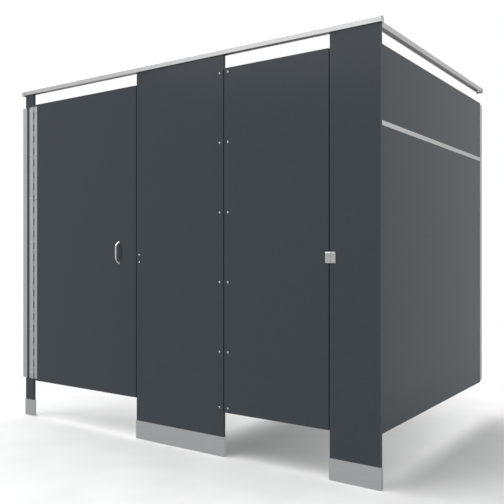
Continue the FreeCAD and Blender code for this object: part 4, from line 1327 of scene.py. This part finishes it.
@dataclass
class PullHandle(SubAssembly):
    """The bow pull on the wide door: a bent bar between two roses."""

    node: str = "pull_handle"
    bar_radius: float = 0.006
    bar_steps: int = 24
    feet: float = 0.118
    straight: float = 0.078
    rose_radius: float = 0.008
    rose_thickness: float = 0.002
    # Shares of a rose's radius and thickness, from the door outwards
    rose_profile: tuple[Point, ...] = ((1.0, 0.0), (1.0, 0.6), (0.95, 0.9), (0.8, 1.0), (0.3, 1.0))
    bend: float = 0.018
    bend_steps: int = 10

    def build(self) -> None:
        """Make the bar and the roses as one piece."""
        low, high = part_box(self.node)
        middle = (low + high) / 2
        shape = Modeller()
        rose = sized(self.rose_profile, self.rose_radius, self.rose_thickness)
        for side in End:
            shape.lathe(rose, (middle.x, high.y, middle.z + side.value * self.feet / 2), Axis.Y, End.LOW)
        self.bar(shape, middle, low.y + self.bar_radius, high.y)
        self.add(shape, self.node, "bent")

    def bar(self, shape: Modeller, middle: Vector, bow: float, foot: float) -> None:
        """Add the round bar, which slopes from its feet to a straight stretch and ends flat on the door.

        Args:
            shape: The mesh that it goes into.
            middle: The handle's middle.
            bow: Where the straight stretch's centre is along Y.
            foot: Where the bar ends along Y, at the door's face.
        """
        reach, half = self.feet / 2, self.straight / 2
        past, splay = 2 * foot - bow, 2 * reach - half
        corners = [(past, -splay), (bow, -half), (bow, half), (past, splay)]
        count = self.bend_steps + 1
        bends = rounded(corners, self.bend, self.bend_steps)[count:3 * count]
        path = [Vector(point) for point in [(foot, -reach), *bends, (foot, reach)]]
        rings = []
        for index, (depth, height) in enumerate(path):
            run = (path[min(index + 1, len(path) - 1)] - path[max(index - 1, 0)]).normalized()
            at_foot = index in (0, len(path) - 1)
            ring = []
            for step in range(self.bar_steps):
                angle = 2 * math.pi * step / self.bar_steps
                side, out = self.bar_radius * math.cos(angle), self.bar_radius * math.sin(angle)
                # A foot is cut off level with the door's face
                back, up = (0.0, out / run.x) if at_foot else (-out * run.y, out * run.x)
                ring.append(shape.mesh.verts.new((middle.x + side, depth + back, middle.z + height + up)))
            rings.append(ring)
        shape.skin(rings)

    def dress(self) -> None:
        """Give the handle bright steel."""
        self.paint(PULL)


# Camera, floor and lights

@dataclass(frozen=True)
class LightPanel:
    """A rectangular light that faces a point."""

    name: str
    place: Place
    target: Place
    size: Point
    power: float

    def hang(self) -> None:
        """Put the light into the scene."""
        data = bpy.data.lights.new(self.name, "AREA")
        data.shape = "RECTANGLE"
        data.size, data.size_y = self.size
        data.energy = self.power
        lamp = placed(self.name, data)
        lamp.location = self.place
        aim = Vector(self.target) - lamp.location
        lamp.rotation_euler = aim.to_track_quat("-Z", "Y").to_euler()


@dataclass
class Studio:
    """The camera, the soft lights and the pale floor."""

    camera_place: Place = (2.5071, -3.583375, 1.058)
    camera_turn: float = 34.87
    lens: float = 48.43
    sensor: float = 36.0
    view_depth: float = 200.0
    floor_half: float = 30.0
    floor_drop: float = 0.0005
    sky_axis: Place = (0.2, -0.2, 0.96)
    # Positions along the sky's axis, from its lowest point to its highest, and their greys
    sky_shades: tuple[Point, ...] = ((0.0, 0.68), (0.12, 0.47), (0.23, 0.16), (0.29, 0.18), (0.36, 0.45),
                                     (0.5, 0.48), (1.0, 0.58))
    overhead: float = 2.3
    overhead_from: Place = (-0.45, -0.1, 0.88)
    overhead_spread: float = 60.0
    # A panel that the front rail reflects, and a fill at the side
    panels: tuple[LightPanel, ...] = (
        LightPanel("Rail_light", place=(-2.6, -6.6, 5.6), target=(0.9, -0.8, 2.0), size=(4.5, 4.0),
                   power=22.0),
        LightPanel("Side_light", place=(5.2, 0.6, 1.6), target=(1.2, 0.3, 1.2), size=(3.0, 2.5),
                   power=27.0))

    def build(self) -> None:
        """Set up the camera, the floor, the sky and the lights."""
        self.camera()
        self.floor()
        self.sky()
        self.lights()

    def camera(self) -> None:
        """Stand the camera where the photograph was taken."""
        data = bpy.data.cameras.new("Camera")
        data.lens = self.lens
        data.sensor_width = self.sensor
        data.clip_end = self.view_depth
        camera = placed("Camera", data)
        camera.location = self.camera_place
        camera.rotation_euler = (math.radians(90.0), 0.0, math.radians(self.camera_turn))
        bpy.context.scene.camera = camera
        bpy.context.scene.view_settings.view_transform = "Standard"

    def floor(self) -> None:
        """Lay the floor, which neither lights the object nor shows in its reflections."""
        mesh = bmesh.new()
        bmesh.ops.create_grid(mesh, x_segments=2, y_segments=2, size=self.floor_half)
        data = bpy.data.meshes.new("Floor")
        mesh.to_mesh(data)
        mesh.free()
        data.materials.append(FLOOR.material())
        floor = placed("Floor", data)
        floor.location.z = -self.floor_drop
        floor.visible_diffuse = False
        floor.visible_glossy = False
        floor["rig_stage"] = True

    def sky(self) -> None:
        """Light the object from a sky with soft bands of grey, which the camera sees as plain white."""
        world = bpy.data.worlds.new("Studio")
        bpy.context.scene.world = world
        graph = NodeGraph(world)
        soft = graph.tree.nodes["Background"]
        way = graph.add("TexCoord", "Generated", {})
        height = graph.add("VectorMath", "Value", {0: way, 1: self.sky_axis}, operation="DOT_PRODUCT")
        share = graph.add("MapRange", "Result", {"Value": height, "From Min": -1.0})
        stops = [(position, (grey, grey, grey, 1.0)) for position, grey in self.sky_shades]
        graph.fill(soft, {"Color": graph.ramp(share, stops)})
        white = graph.add("Background", "Background", {"Color": (1.0, 1.0, 1.0, 1.0)})
        seen = graph.add("LightPath", "Is Camera Ray", {})
        choice = graph.add("MixShader", "Shader", {"Fac": seen, 1: soft.outputs["Background"], 2: white})
        graph.fill(graph.tree.nodes["World Output"], {"Surface": choice})

    def lights(self) -> None:
        """Hang the overhead light and the panels."""
        data = bpy.data.lights.new("Overhead", "SUN")
        data.energy = self.overhead
        data.angle = math.radians(self.overhead_spread)
        lamp = placed("Overhead", data)
        lamp.rotation_euler = Vector(self.overhead_from).to_track_quat("Z", "Y").to_euler()
        for panel in self.panels:
            panel.hang()


def sub_assemblies() -> Iterable[SubAssembly]:
    """Every sub-assembly, in the order in which it is built."""
    yield Boards()
    yield Shoes()
    yield Channels()
    yield JointBars()
    yield Headrails()
    yield PianoHinge(side=Side.LEFT, outside=True)
    yield PianoHinge(side=Side.RIGHT, outside=False)
    yield Fasteners()
    yield Keepers()
    for side in Side:
        yield SlideLatch(side=side)
        yield CoatHook(side=side)
    yield PullHandle()


def main() -> None:
    """Build and dress the sub-assemblies, set the stage and measure the sizes."""
    logging.basicConfig(level=logging.INFO, format="%(name)s: %(message)s")
    for group in sub_assemblies():
        group.build()
        group.dress()
        for piece in group.pieces:
            log.info("%s: %s, %d faces", type(group).__name__, piece.name, len(piece.data.polygons))
    Studio().build()
    boxes = {"cad": CAD_BOUNDS, "visual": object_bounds()}
    plain = {name: [[float(value) for value in corner] for corner in box] for name, box in boxes.items()}


if __name__ == "__main__":
    main()
